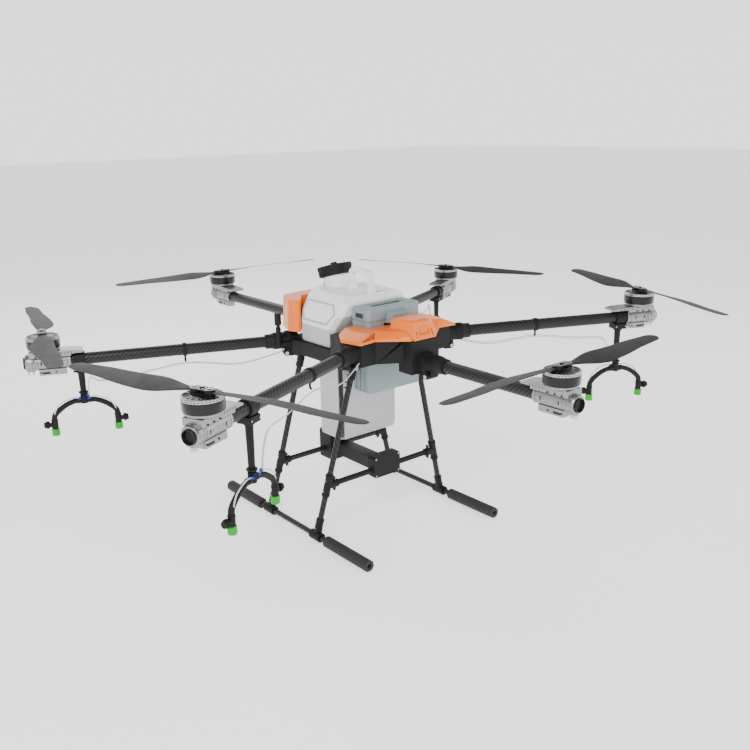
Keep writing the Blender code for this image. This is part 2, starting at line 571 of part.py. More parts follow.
def make_hose(number, at, face, mid, boom_at, drop):
    """The spray line, held at the root, at the mid-arm hook and at the tee."""
    tee = -drop + 0.118
    x = -boom_at
    beside = 0.0130
    quarter, late = face + (mid - face) * 0.5, mid + (x - mid) * 0.5
    points = [(face + 0.012, 0.0385, -0.022), (face + 0.040, 0.038, -0.034), (quarter, 0.028, -0.060),
              (mid, beside, -0.044), (late, 0.018, -0.066), (x - 0.060, 0.020, -0.074),
              (x - 0.026, 0.0225, tee + 0.075), (x - 0.016, 0.021, tee + 0.016)]
    route = smooth_route(points, 3)
    node(f"hose_{number}", "hose_clear", bent_rod(route, [0.0036] * len(route), 6), parent=at)


clear_scene()
MATERIALS = make_materials()
SITE = empty("site", Matrix.Translation((0, CENTRE_Y, 0)))
make_frame()
make_front_cover()
make_rear_cover()
make_battery()
make_tank()
make_gear()
make_underbody()
for arm_number in ARMS:
    make_arm(arm_number)
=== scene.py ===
"""Looks of the crop-spraying hexacopter: carbon arms, orange covers, white tank, booms and skid gear."""
import json
import math

import bmesh
import bpy
from mathutils import Matrix, Vector


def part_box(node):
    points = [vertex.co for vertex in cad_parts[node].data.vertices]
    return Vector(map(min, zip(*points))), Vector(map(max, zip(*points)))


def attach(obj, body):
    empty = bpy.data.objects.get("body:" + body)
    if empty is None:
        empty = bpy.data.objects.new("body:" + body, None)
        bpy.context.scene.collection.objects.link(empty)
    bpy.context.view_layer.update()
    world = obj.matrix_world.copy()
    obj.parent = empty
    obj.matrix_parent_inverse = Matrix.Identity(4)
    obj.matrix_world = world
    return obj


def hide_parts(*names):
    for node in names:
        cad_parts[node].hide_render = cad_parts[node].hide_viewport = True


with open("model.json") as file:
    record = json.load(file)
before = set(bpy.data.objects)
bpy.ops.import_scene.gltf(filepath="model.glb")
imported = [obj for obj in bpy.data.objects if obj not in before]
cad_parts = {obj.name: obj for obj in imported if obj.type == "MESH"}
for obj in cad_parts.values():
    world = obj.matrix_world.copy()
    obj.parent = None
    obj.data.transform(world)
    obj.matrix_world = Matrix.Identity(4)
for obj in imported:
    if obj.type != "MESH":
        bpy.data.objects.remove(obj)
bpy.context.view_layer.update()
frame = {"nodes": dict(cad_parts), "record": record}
record = frame["record"]

# ---------------------------------------------------------------- studio
# The machine stands on a plain pale floor that runs out of sight. Three broad soft lamps hang round it,
# the strongest high in front on the left. The room is brighter low down, so the shadows stay faint.
for lamp_name, lamp_at, lamp_size, lamp_power in (("key_lamp", (-2.6, -2.2, 3.4), 2.0, 130.0),
                                                  ("fill_lamp", (3.2, -2.4, 2.2), 2.6, 42.0),
                                                  ("back_lamp", (0.6, 3.4, 3.0), 2.6, 60.0)):
    lamp = bpy.data.lights.new(lamp_name, "AREA")
    lamp.size, lamp.energy = lamp_size, lamp_power
    lamp_object = bpy.data.objects.new(lamp_name, lamp)
    lamp_object.location = lamp_at
    lamp_object.rotation_euler = (Vector((0, 0, 0.45)) - Vector(lamp_at)).to_track_quat("-Z", "Y").to_euler()
    bpy.context.collection.objects.link(lamp_object)

CAMERA_AT = Vector((-1.7663, -2.2567, 1.3448))
CAMERA_TURN, CAMERA_PITCH, CAMERA_ROLL = (math.radians(a) for a in (-39.324, 16.607, -1.087))
right = Vector((math.cos(CAMERA_TURN), math.sin(CAMERA_TURN), 0))
back = Vector((math.sin(CAMERA_TURN) * math.cos(CAMERA_PITCH),
               -math.cos(CAMERA_TURN) * math.cos(CAMERA_PITCH),
               math.sin(CAMERA_PITCH)))
up = back.cross(right)
camera_x = right * math.cos(CAMERA_ROLL) + up * math.sin(CAMERA_ROLL)
camera_y = up * math.cos(CAMERA_ROLL) - right * math.sin(CAMERA_ROLL)
camera_data = bpy.data.cameras.new("camera")
camera_data.sensor_width, camera_data.lens = 36.0, 41.27
camera = bpy.data.objects.new("camera", camera_data)
camera.matrix_world = Matrix((camera_x, camera_y, back)).transposed().to_4x4()
camera.matrix_world.translation = CAMERA_AT
bpy.context.collection.objects.link(camera)
bpy.context.scene.camera = camera


class Wire:
    """A shader socket. Arithmetic with it adds Math nodes, and node() adds any other kind."""

    def __init__(self, tree, socket=None):
        self.tree, self.socket = tree, socket

    def node(self, kind, settings=(), values=(), out=0):
        made = self.tree.nodes.new(kind)
        for name, value in dict(settings).items():
            if name == "stops":
                for i, (place, colour) in enumerate(value):
                    stop = made.color_ramp.elements[i] if i < 2 else made.color_ramp.elements.new(place)
                    stop.position, stop.color = place, colour
            else:
                setattr(made, name, value)
        for name, value in dict(values).items():
            if isinstance(value, Wire):
                self.tree.links.new(value.socket, made.inputs[name])
            else:
                made.inputs[name].default_value = value
        return Wire(self.tree, made.outputs[out] if len(made.outputs) else None)

    def maths(self, operation, *values):
        return self.node("ShaderNodeMath", {"operation": operation}, dict(enumerate(values)))

    def mixed(self, low, high):
        """From the colour low to the colour high, by this value."""
        return self.node("ShaderNodeMix", {"data_type": "RGBA"}, {0: self, 6: low, 7: high}, out=2)

    def __add__(self, other):
        return self.maths("ADD", self, other)

    def __sub__(self, other):
        return self.maths("SUBTRACT", self, other)

    def __rsub__(self, other):
        return self.maths("SUBTRACT", other, self)

    def __mul__(self, other):
        return self.maths("MULTIPLY", self, other)

    def __mod__(self, other):
        return self.maths("FLOORED_MODULO", self, other)

    def __lt__(self, other):
        return self.maths("LESS_THAN", self, other)

    def __gt__(self, other):
        return self.maths("GREATER_THAN", self, other)

    __radd__, __rmul__ = __add__, __mul__


world = bpy.data.worlds.new("room")
world.use_nodes = True
room = Wire(world.node_tree)
height = room.node("ShaderNodeSeparateXYZ", {}, {0: room.node("ShaderNodeTexCoord", out="Generated")},
                   out="Z")
glow = height.node("ShaderNodeMapRange", {"interpolation_type": "SMOOTHSTEP"},
                   {"Value": height, "From Min": 0.05, "From Max": 0.75, "To Min": 1.95, "To Max": 0.40})
shell = world.node_tree.nodes["Background"]
shell.inputs["Color"].default_value = (0.97, 0.985, 1.0, 1.0)
world.node_tree.links.new(glow.socket, shell.inputs["Strength"])
bpy.context.scene.world = world


def finish(name, paint, **fixed):
    """A material: paint(start) gives the sockets that vary over the surface, fixed the ones that don't."""
    made = bpy.data.materials.new(name)
    made.use_nodes = True
    tree = made.node_tree
    shader = tree.nodes["Principled BSDF"]
    for socket, value in fixed.items():
        shader.inputs[socket.replace("_", " ")].default_value = value
    for socket, value in paint(Wire(tree)).items():
        tree.links.new(value.socket, shader.inputs[socket])
    return made


def noise(start, scale, detail=3.0, stretch=(1.0, 1.0, 1.0)):
    place = start.node("ShaderNodeTexCoord", out="Object")
    place = start.node("ShaderNodeVectorMath", {"operation": "MULTIPLY"}, {0: place, 1: stretch})
    return start.node("ShaderNodeTexNoise", {}, {"Vector": place, "Scale": scale, "Detail": detail})


def bump(start, height, depth, strength=1.0):
    return start.node("ShaderNodeBump", {}, {"Height": height, "Distance": depth, "Strength": strength},
                      out="Normal")


def grey(level, warmth=0.0):
    return (level * (1 + warmth), level, level * (1 - warmth), 1.0)


def paint_floor(start):
    mottle = noise(start, 1.3)
    return {"Base Color": mottle.mixed(grey(0.93), grey(0.95))}


floor_mesh = bpy.data.meshes.new("studio_floor")
reach = 30.0
floor_mesh.from_pydata([(x * reach, y * reach, 0) for x, y in ((-1, -1), (1, -1), (1, 1), (-1, 1))], [],
                       [(0, 1, 2, 3)])
studio_floor = bpy.data.objects.new("studio_floor", floor_mesh)
floor_mesh.materials.append(finish("floor_paint", paint_floor, Roughness=0.8, Specular_IOR_Level=0.2,
                                   Emission_Color=(1, 1, 1, 1), Emission_Strength=0.9))
bpy.context.collection.objects.link(studio_floor)

# ---------------------------------------------------------------- main frame
# Two moulded carbon-nylon trays, one in front and a lower one behind, joined into one black frame. Six
# tapered sockets grow out of it, each with two lugs that hold a steel fold pin. Its edges are rounded.


def paint_frame(start):
    grain, cloud = noise(start, 900, 2.0), noise(start, 14, 4.0)
    shade = cloud.mixed(grey(0.004), grey(0.010))
    return {"Base Color": shade, "Roughness": grain * 0.18 + cloud * 0.2 + 0.38,
            "Normal": bump(start, grain, 0.0004, 0.35)}


black_nylon = finish("black_nylon", paint_frame, Specular_IOR_Level=0.22)


def body_of(node):
    return next(name for name, nodes in record["behaviour"]["bodies"].items() if node in nodes)


def slot_of(node):
    return next(part["material_slot"] for part in record["subparts"] if part["node"] == node)


def placed(name, mesh, made_of, node, replaces=True, bevel=0.0, segments=2, sharp=35, crease=None):
    """A finished piece: it rides with the CAD node's body and usually stands for it."""
    if made_of:
        mesh.materials.clear()
        mesh.materials.append(made_of)
    mesh.shade_smooth()
    mesh.set_sharp_from_angle(angle=math.radians(crease or sharp))
    made = bpy.data.objects.new(name, mesh)
    bpy.context.collection.objects.link(made)
    if bevel:
        rounding = made.modifiers.new("rounding", "BEVEL")
        rounding.width, rounding.segments = bevel, segments
        rounding.limit_method, rounding.angle_limit = "ANGLE", math.radians(sharp)
        rounding.use_clamp_overlap, rounding.harden_normals = False, True
    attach(made, body_of(node))
    slot_of(node)
    if replaces:
        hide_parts(node)
    return made


def refined(node, made_of, bevel, segments=2, sharp=40, crease=None):
    """The CAD node's own shape with its flats made whole and its edges rounded."""
    bm = bmesh.new()
    bm.from_mesh(frame["nodes"][node].data)
    bmesh.ops.remove_doubles(bm, verts=bm.verts, dist=0.00002)
    bmesh.ops.dissolve_limit(bm, angle_limit=math.radians(0.15), verts=bm.verts, edges=bm.edges)
    mesh = bpy.data.meshes.new(node + "_shell")
    bm.to_mesh(mesh)
    bm.free()
    return placed(node + "_shell", mesh, made_of, node, True, bevel, segments, sharp, crease)


refined("main_frame", black_nylon, 0.0012, 2, 25, 6)

# ---------------------------------------------------------------- screws
# Socket-head screws of blackened or bright steel hold the trays, covers, clamps and hub plates. One rule
# makes them all: a turned head with a sunk socket stands at each point and looks in that point's direction.


def open_tree(name, inputs, output):
    """An empty Geometry Nodes tree, its start, and a way to reach its named inputs."""
    tree = bpy.data.node_groups.new(name, "GeometryNodeTree")
    for socket, kind in inputs.items():
        tree.interface.new_socket(name=socket, in_out="INPUT", socket_type="NodeSocket" + kind)
    tree.interface.new_socket(name=output, in_out="OUTPUT", socket_type="NodeSocketGeometry")
    start = Wire(tree)
    return tree, start, lambda socket: start.node("NodeGroupInput", out=socket)


def planted(start, points, instance, turn, made_of, output):
    """The tree's last steps: turned instances on points, made real and given their material."""
    many = start.node("GeometryNodeInstanceOnPoints", {},
                      {"Points": points, "Instance": instance, "Rotation": turn})
    real = start.node("GeometryNodeRealizeInstances", {}, {"Geometry": many})
    done = start.node("GeometryNodeSetMaterial", {}, {"Geometry": real, "Material": made_of})
    start.node("NodeGroupOutput", {}, {output: done})


def screw_tree():
    tree, start, given = open_tree("screw_heads", {"Points": "Geometry", "Radius": "Float", "Height": "Float",
                                                   "Sides": "Int", "Finish": "Material"}, "Heads")
    lift = start.node("ShaderNodeCombineXYZ", {}, {"Z": given("Height") * 0.5})
    post = start.node("GeometryNodeMeshCylinder", {}, {"Vertices": given("Sides"), "Radius": given("Radius"),
                                                      "Depth": given("Height")})
    top = Wire(tree, post.socket.node.outputs["Top"])
    rim = start.node("GeometryNodeExtrudeMesh", {"mode": "FACES"},
                     {"Mesh": post, "Selection": top, "Offset Scale": 0.0})
    sunk = Wire(tree, rim.socket.node.outputs["Top"])
    narrow = start.node("GeometryNodeScaleElements", {}, {"Geometry": rim, "Selection": sunk, "Scale": 0.55})
    head = start.node("GeometryNodeExtrudeMesh", {"mode": "FACES"},
                      {"Mesh": narrow, "Selection": sunk, "Offset Scale": given("Height") * -0.6})
    head = start.node("GeometryNodeTransform", {}, {"Geometry": head, "Translation": lift})
    way = start.node("GeometryNodeInputNamedAttribute", {"data_type": "FLOAT_VECTOR"}, {"Name": "way"})
    turn = start.node("FunctionNodeAlignRotationToVector", {"axis": "Z"}, {"Vector": way})
    planted(start, given("Points"), head, turn, given("Finish"), "Heads")
    return tree


def grown(name, seed, tree, inputs):
    """The plain mesh that a Geometry Nodes tree makes from a seed mesh."""
    holder = bpy.data.objects.new(name, seed)
    bpy.context.collection.objects.link(holder)
    grow = holder.modifiers.new("grow", "NODES")
    grow.node_group = tree
    for item in tree.interface.items_tree:
        if item.in_out == "INPUT" and item.name in inputs:
            grow[item.identifier] = inputs[item.name]
    mesh = bpy.data.meshes.new_from_object(holder.evaluated_get(bpy.context.evaluated_depsgraph_get()))
    holder.modifiers.remove(grow)
    bpy.data.objects.remove(holder)
    return mesh


def paint_steel(start):
    grain = noise(start, 1500, 2.0)
    return {"Base Color": grain.mixed(grey(0.42), grey(0.56)), "Roughness": grain * 0.2 + 0.22}


def paint_black_steel(start):
    grain = noise(start, 1200, 2.0)
    return {"Base Color": grain.mixed(grey(0.022), grey(0.05)), "Roughness": grain * 0.2 + 0.3}


bright_steel = finish("bright_steel", paint_steel, Metallic=1.0)
black_steel = finish("black_steel", paint_black_steel, Metallic=0.8)
SCREWS = screw_tree()


def screws(name, node, places, radius, height, made_of, sides=16):
    """Screw heads on one CAD node's body, at (point, direction) places."""
    seed = bpy.data.meshes.new(name)
    seed.from_pydata([tuple(point) for point, way in places], [], [])
    directions = [c for point, way in places for c in way]
    seed.attributes.new("way", "FLOAT_VECTOR", "POINT").data.foreach_set("vector", directions)
    mesh = grown(name, seed, SCREWS, {"Radius": radius, "Height": height, "Sides": sides,
                                      "Finish": made_of})
    return placed(name, mesh, None, node, False, 0.0, 2, 30)


# ---------------------------------------------------------------- frame fittings
# Two stubby aerials stand beside the two rear side sockets, each on a moulded peg with a round eye near it.
# Every fold pin shows a bright screw head at each end, and screws hold the sockets' lids down.
BATTERY_AHEAD = 0.217                        # from the frame's datum forward to the battery's front face
PIN_DROP = 0.0415                            # from a tube's axis down to its fold pin
DATUM = Vector((0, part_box("battery")[0][1] + BATTERY_AHEAD, 0))


class Arm:
    """One arm's own frame: x outward along its tube, the motor's axis at x = 0, z up from the tube's axis."""

    def __init__(self, number):
        joints = {joint["name"]: joint for joint in record["behaviour"]["joints"]}
        fold, spin = joints[f"arm_{number}_fold"], joints[f"rotor_{number}_spin"]
        across = Vector(fold["axis"])
        out = Vector((across.y, -across.x, 0))
        self.number = number
        self.pin = Vector(fold["pos_m"])
        hub = Vector(spin["pos_m"])
        self.matrix = Matrix((out, across, (0, 0, 1))).transposed().to_4x4()
        self.matrix.translation = (hub.x, hub.y, self.pin.z + PIN_DROP)
        self.face = (self.pin - hub).dot(out)
        blade = Vector(joints[f"blade_{number}a_fold"]["pos_m"])
        way = self.matrix.inverted() @ blade
        self.blades = math.atan2(way.y, way.x)
        self.boom = f"boom_{number}" in frame["nodes"]

    def at(self, x, y, z):
        return self.matrix @ Vector((x, y, z))

    def way(self, x, y, z):
        return self.matrix.to_3x3() @ Vector((x, y, z))


ARMS = [Arm(number) for number in range(1, 7)]


def closed(bm):
    bmesh.ops.recalc_face_normals(bm, faces=bm.faces)
    return bm


def loft(sections):
    """A closed solid through rings that have the same number of points."""
    bm = bmesh.new()
    rings = [[bm.verts.new(p) for p in ring] for ring in sections]
    count = len(rings[0])
    for low, high in zip(rings, rings[1:]):
        for i in range(count):
            j = (i + 1) % count
            bm.faces.new((low[i], low[j], high[j], high[i]))
    bm.faces.new(rings[0])
    bm.faces.new(rings[-1])
    return closed(bm)


def circle(radius, count, turn=0.0):
    steps = [turn + 2 * math.pi * i / count for i in range(count)]
    return [(radius * math.cos(a), radius * math.sin(a)) for a in steps]


def turned(profile, count=48):
    """A solid of revolution about Z from (radius, height) points, bottom to top."""
    return loft([[(x, y, h) for x, y in circle(r, count)] for r, h in profile])


def ring(profile, count=48):
    """A closed hoop about Z, from (radius, height) points round its section."""
    bm = bmesh.new()
    hoops = [[bm.verts.new((x, y, h)) for x, y in circle(r, count)] for r, h in profile]
    for a, b in zip(hoops, hoops[1:] + hoops[:1]):
        for i in range(count):
            j = (i + 1) % count
            bm.faces.new((a[i], a[j], b[j], b[i]))
    return closed(bm)


def along(bm, start, end):
    """Turn a solid made along +Z so that it runs from start towards end."""
    way = Vector(end) - Vector(start)
    turn = way.to_track_quat("Z", "Y").to_matrix().to_4x4()
    bmesh.ops.transform(bm, matrix=Matrix.Translation(start) @ turn, verts=bm.verts)
    return bm


def rod(start, end, radius, end_radius=None, count=32):
    length = (Vector(end) - Vector(start)).length
    top = radius if end_radius is None else end_radius
    soft = min(0.0008, radius * 0.2)
    profile = [(radius - soft, 0), (radius, soft), (top, length - soft), (top - soft, length)]
    return along(turned(profile, count), start, end)


def joined(name, solids, matrix=None):
    """One mesh from several closed solids, put in place by matrix."""
    whole = bmesh.new()
    for solid in solids:
        part = bpy.data.meshes.new("part")
        solid.to_mesh(part)
        solid.free()
        whole.from_mesh(part)
        bpy.data.meshes.remove(part)
    if matrix:
        bmesh.ops.transform(whole, matrix=matrix, verts=whole.verts)
    mesh = bpy.data.meshes.new(name)
    whole.to_mesh(mesh)
    whole.free()
    return mesh


pin_heads, socket_screws = [], []
for arm in ARMS:
    pin_heads += [(arm.at(arm.face, side * 0.0252, -PIN_DROP), arm.way(0, side, 0)) for side in (-1, 1)]
    if arm.number in (2, 3, 4):
        socket_screws += [(arm.at(arm.face - inward, side * 0.010, 0.0292), (0, 0, 1))
                          for inward in (0.008, 0.030) for side in (-1, 1)]
screws("fold_pin_ends", "main_frame", pin_heads, 0.0062, 0.0022, bright_steel, 24)
screws("socket_screws", "main_frame", socket_screws, 0.0032, 0.0022, black_steel)

aerials = []
for arm in (ARMS[1], ARMS[3]):
    side = 1 if arm.number == 2 else -1
    foot = arm.at(arm.face + 0.030, side * 0.0425, -0.010)
    shelf = [arm.at(x, side * 0.034, -0.004) for x in (arm.face - 0.016, arm.face + 0.030)]
    aerials += [rod(shelf[0], shelf[1], 0.0050), rod(shelf[1], foot + Vector((0, 0, 0.006)), 0.0050)]
    for radius, low, high in ((0.0088, 0.0, 0.066), (0.0065, 0.064, 0.078), (0.0115, 0.076, 0.116)):
        aerials.append(rod(foot + Vector((0, 0, low)), foot + Vector((0, 0, high)), radius))
    eye = arm.at(arm.face + 0.002, side * 0.030, 0.022)
    aerials.append(along(ring([(0.0125 + x, y) for x, y in circle(0.0034, 12)]), eye,
                         eye + arm.way(0.3, side, 0.35)))
placed("aerials", joined("aerials", aerials), black_nylon, "main_frame", False)

# ---------------------------------------------------------------- arm tubes
# Six carbon-fibre tubes 39 mm across, wrapped in a 2x2 twill under clear lacquer. Each is bonded into a
# black hinge plate with a barrel under it. The four side arms carry a hook for the spray line.


def paint_twill(start):
    place = start.node("ShaderNodeUVMap", {"uv_map": "weave"})
    round_it = start.node("ShaderNodeSeparateXYZ", {}, {0: place})
    down_it = Wire(start.tree, round_it.socket.node.outputs[1])
    over = (start.maths("FLOOR", round_it) + start.maths("FLOOR", down_it)) % 4 < 2
    warp, weft = (start.maths("SINE", (way % 1) * math.pi) for way in (round_it, down_it))
    swell = over * (warp - weft) + weft
    cloud = noise(start, 30, 4.0)
    # Painted sheen and shade: warp tows are lighter than weft tows, and each tow is lighter on its crown and
    # darker at its edges.
    shade = (over * 0.6 + swell * 0.3 + cloud * 0.1).mixed(grey(0.001), grey(0.026))
    return {"Base Color": shade, "Roughness": over * -0.16 + cloud * 0.12 + 0.42,
            "Normal": bump(start, swell, 0.0004, 0.6)}


def woven(mesh, matrix, radius, tows=32):
    """Weave coordinates on a tube: tow widths round its axis and along it, unbroken inside each face."""
    inverse, tow = matrix.inverted(), 2 * math.pi * radius / tows
    layer = mesh.uv_layers.new(name="weave")
    for face in mesh.polygons:
        first = None
        for loop in face.loop_indices:
            point = inverse @ mesh.vertices[mesh.loops[loop].vertex_index].co
            turn = math.atan2(point.z, point.y)
            first = turn if first is None else first
            turn += 2 * math.pi * round((first - turn) / (2 * math.pi))
            layer.data[loop].uv = (turn * radius / tow, point.x / tow)
    return mesh


def block(xs, ys, zs):
    (x0, x1), (y0, y1), (z0, z1) = (sorted(pair) for pair in (xs, ys, zs))
    return loft([[(x0, y0, z), (x1, y0, z), (x1, y1, z), (x0, y1, z)] for z in (z0, z1)])


def bent_rod(points, radii, count=16):
    """A solid swept along points, one radius for each."""
    points = [Vector(p) for p in points]
    sections, side = [], None
    for i, point in enumerate(points):
        way = (points[min(i + 1, len(points) - 1)] - points[max(i - 1, 0)]).normalized()
        side = way.orthogonal() if side is None else side
        side = (side - way * side.dot(way)).normalized()
        other = way.cross(side)
        sections.append([point + side * x + other * y for x, y in circle(radii[i], count)])
    return loft(sections)


def smooth_route(points, steps):
    """Points on a smooth curve through the given ones."""
    points = [Vector(p) for p in points]
    ends = [2 * points[0] - points[1]] + points + [2 * points[-1] - points[-2]]
    out = []
    for a, b, c, d in zip(ends, ends[1:], ends[2:], ends[3:]):
        for i in range(steps):
            t = i / steps
            out.append(0.5 * (2 * b + (c - a) * t + (2 * a - 5 * b + 4 * c - d) * t ** 2
                              + (3 * b - a - 3 * c + d) * t ** 3))
    return out + [points[-1]]


def pipe(start, end, outer, inner, count=48):
    length = (Vector(end) - Vector(start)).length
    soft = 0.0005
    section = [(inner, 0), (outer - soft, 0), (outer, soft), (outer, length - soft), (outer - soft, length),
               (inner, length)]
    return along(ring(section, count), start, end)


carbon_twill = finish("carbon_twill", paint_twill, Coat_Weight=0.10, Coat_Roughness=0.2,
                      Specular_IOR_Level=0.2)
TUBE_R, TUBE_BORE, TUBE_END = 0.0195, 0.0175, 0.066
HOOKS = {1: -0.480, 2: -0.440, 4: -0.440, 5: -0.401}
for arm in ARMS:
    face, number = arm.face, arm.number
    tube = joined("tube", [pipe((face + 0.004, 0, 0), (TUBE_END, 0, 0), TUBE_R, TUBE_BORE)], arm.matrix)
    placed(f"arm_{number}_weave", woven(tube, arm.matrix, TUBE_R), carbon_twill, f"arm_{number}_tube")
    fittings = [pipe((face + 0.0003, 0, 0), (face + 0.0117, 0, 0), 0.029, 0.0185),
                rod((face, -0.0112, -PIN_DROP), (face, 0.0112, -PIN_DROP), 0.0105),
                block((face + 0.001, face + 0.0105), (-0.0106, 0.0106), (-PIN_DROP, -0.022))]
    if arm.boom:
        hook = HOOKS[number]
        stem = smooth_route([(hook, 0, 0.003 - TUBE_R), (hook, 0, -0.036), (hook, 0.006, -0.040)], 4)
        fittings += [pipe((hook - 0.006, 0, 0), (hook + 0.006, 0, 0), TUBE_R + 0.0030, TUBE_R - 0.001),
                     bent_rod(stem, [0.0034] * len(stem))]
    placed(f"arm_{number}_fittings", joined("fittings", fittings, arm.matrix), black_nylon,
           f"arm_{number}_tube", False, 0.0006)

# ---------------------------------------------------------------- locking collars
# Each fold joint is locked by a moulded black collar that screws on along the tube. Its rim is ribbed for
# grip, and its outer end tapers to a smooth sleeve. One rule stands the bars round any ribbed ring.


def rib_tree():
    tree, start, given = open_tree("ribs_round_a_ring", {"Seed": "Geometry", "Count": "Int", "Radius": "Float",
                                                         "Size": "Vector", "Finish": "Material"}, "Ribs")
    hoop = start.node("GeometryNodeMeshCircle", {}, {"Vertices": given("Count"), "Radius": given("Radius")})
    turn = start.node("FunctionNodeAlignRotationToVector", {"axis": "X"},
                      {"Vector": start.node("GeometryNodeInputPosition")})
    bar = start.node("GeometryNodeMeshCube", {}, {"Size": given("Size")})
    planted(start, hoop, bar, turn, given("Finish"), "Ribs")
    return tree


RIBS = rib_tree()
ALONG_X = Matrix.Rotation(math.pi / 2, 4, "Y")                   # turns what was made about Z to lie along X


def ribs(name, node, matrix, count, radius, size, made_of):
    """Bars that stand round a ring about the matrix's own Z."""
    mesh = grown(name, bpy.data.meshes.new(name), RIBS, {"Count": count, "Radius": radius, "Size": size,
                                                         "Finish": made_of})
    mesh.transform(matrix)
    return placed(name, mesh, None, node, False, 0.0, 2, 30)


COLLAR_R = 0.0282
for arm in ARMS:
    low, node = arm.face + 0.012, f"collar_{arm.number}"
    profile = [(0.0202, 0.0), (0.0272, 0.0), (COLLAR_R, 0.001), (COLLAR_R, 0.031), (0.0258, 0.0345),
               (0.0248, 0.057), (0.0240, 0.058), (0.0202, 0.058)]
    sleeve = along(ring(profile, 56), (low, 0, 0), (low + 1, 0, 0))
    placed(f"{node}_sleeve", joined("sleeve", [sleeve], arm.matrix), black_nylon, node)
    middle = arm.matrix @ Matrix.Translation((low + 0.0165, 0, 0)) @ ALONG_X
    ribs(f"{node}_ribs", node, middle, 28, COLLAR_R, (0.0016, 0.0028, 0.025), black_nylon)

# ---------------------------------------------------------------- motor mounts
# Each motor stands on a bead-blasted aluminium clamp round the tube. The box under the motor is its speed
# controller's heat sink, and a ring closes the tube's end. Cap screws pull the clamp together.


def paint_blasted(start):
    grain, cloud = noise(start, 1400, 3.0), noise(start, 22, 4.0)
    shade = (grain * 0.35 + cloud * 0.65).mixed(grey(0.21), grey(0.40, -0.01))
    return {"Base Color": shade, "Roughness": grain * 0.15 + cloud * 0.12 + 0.22,
            "Normal": bump(start, grain, 0.0003, 0.4)}


def paint_moulded(dark, light, rough):
    def paint(start):
        cloud, grain = noise(start, 40, 4.0), noise(start, 800, 2.0)
        return {"Base Color": (cloud * 0.7 + grain * 0.3).mixed(dark, light),
                "Roughness": cloud * 0.15 + rough,
                "Normal": bump(start, grain, 0.0003, 0.3)}
    return paint


# Painted shade: a flat near-black laid in slots, grooves, seams and openings, where only shade would be.
def paint_gap_shade(start):
    cloud = noise(start, 90, 2.0)
    return {"Base Color": cloud.mixed(grey(0.006), grey(0.014)), "Roughness": cloud * 0.2 + 0.6}


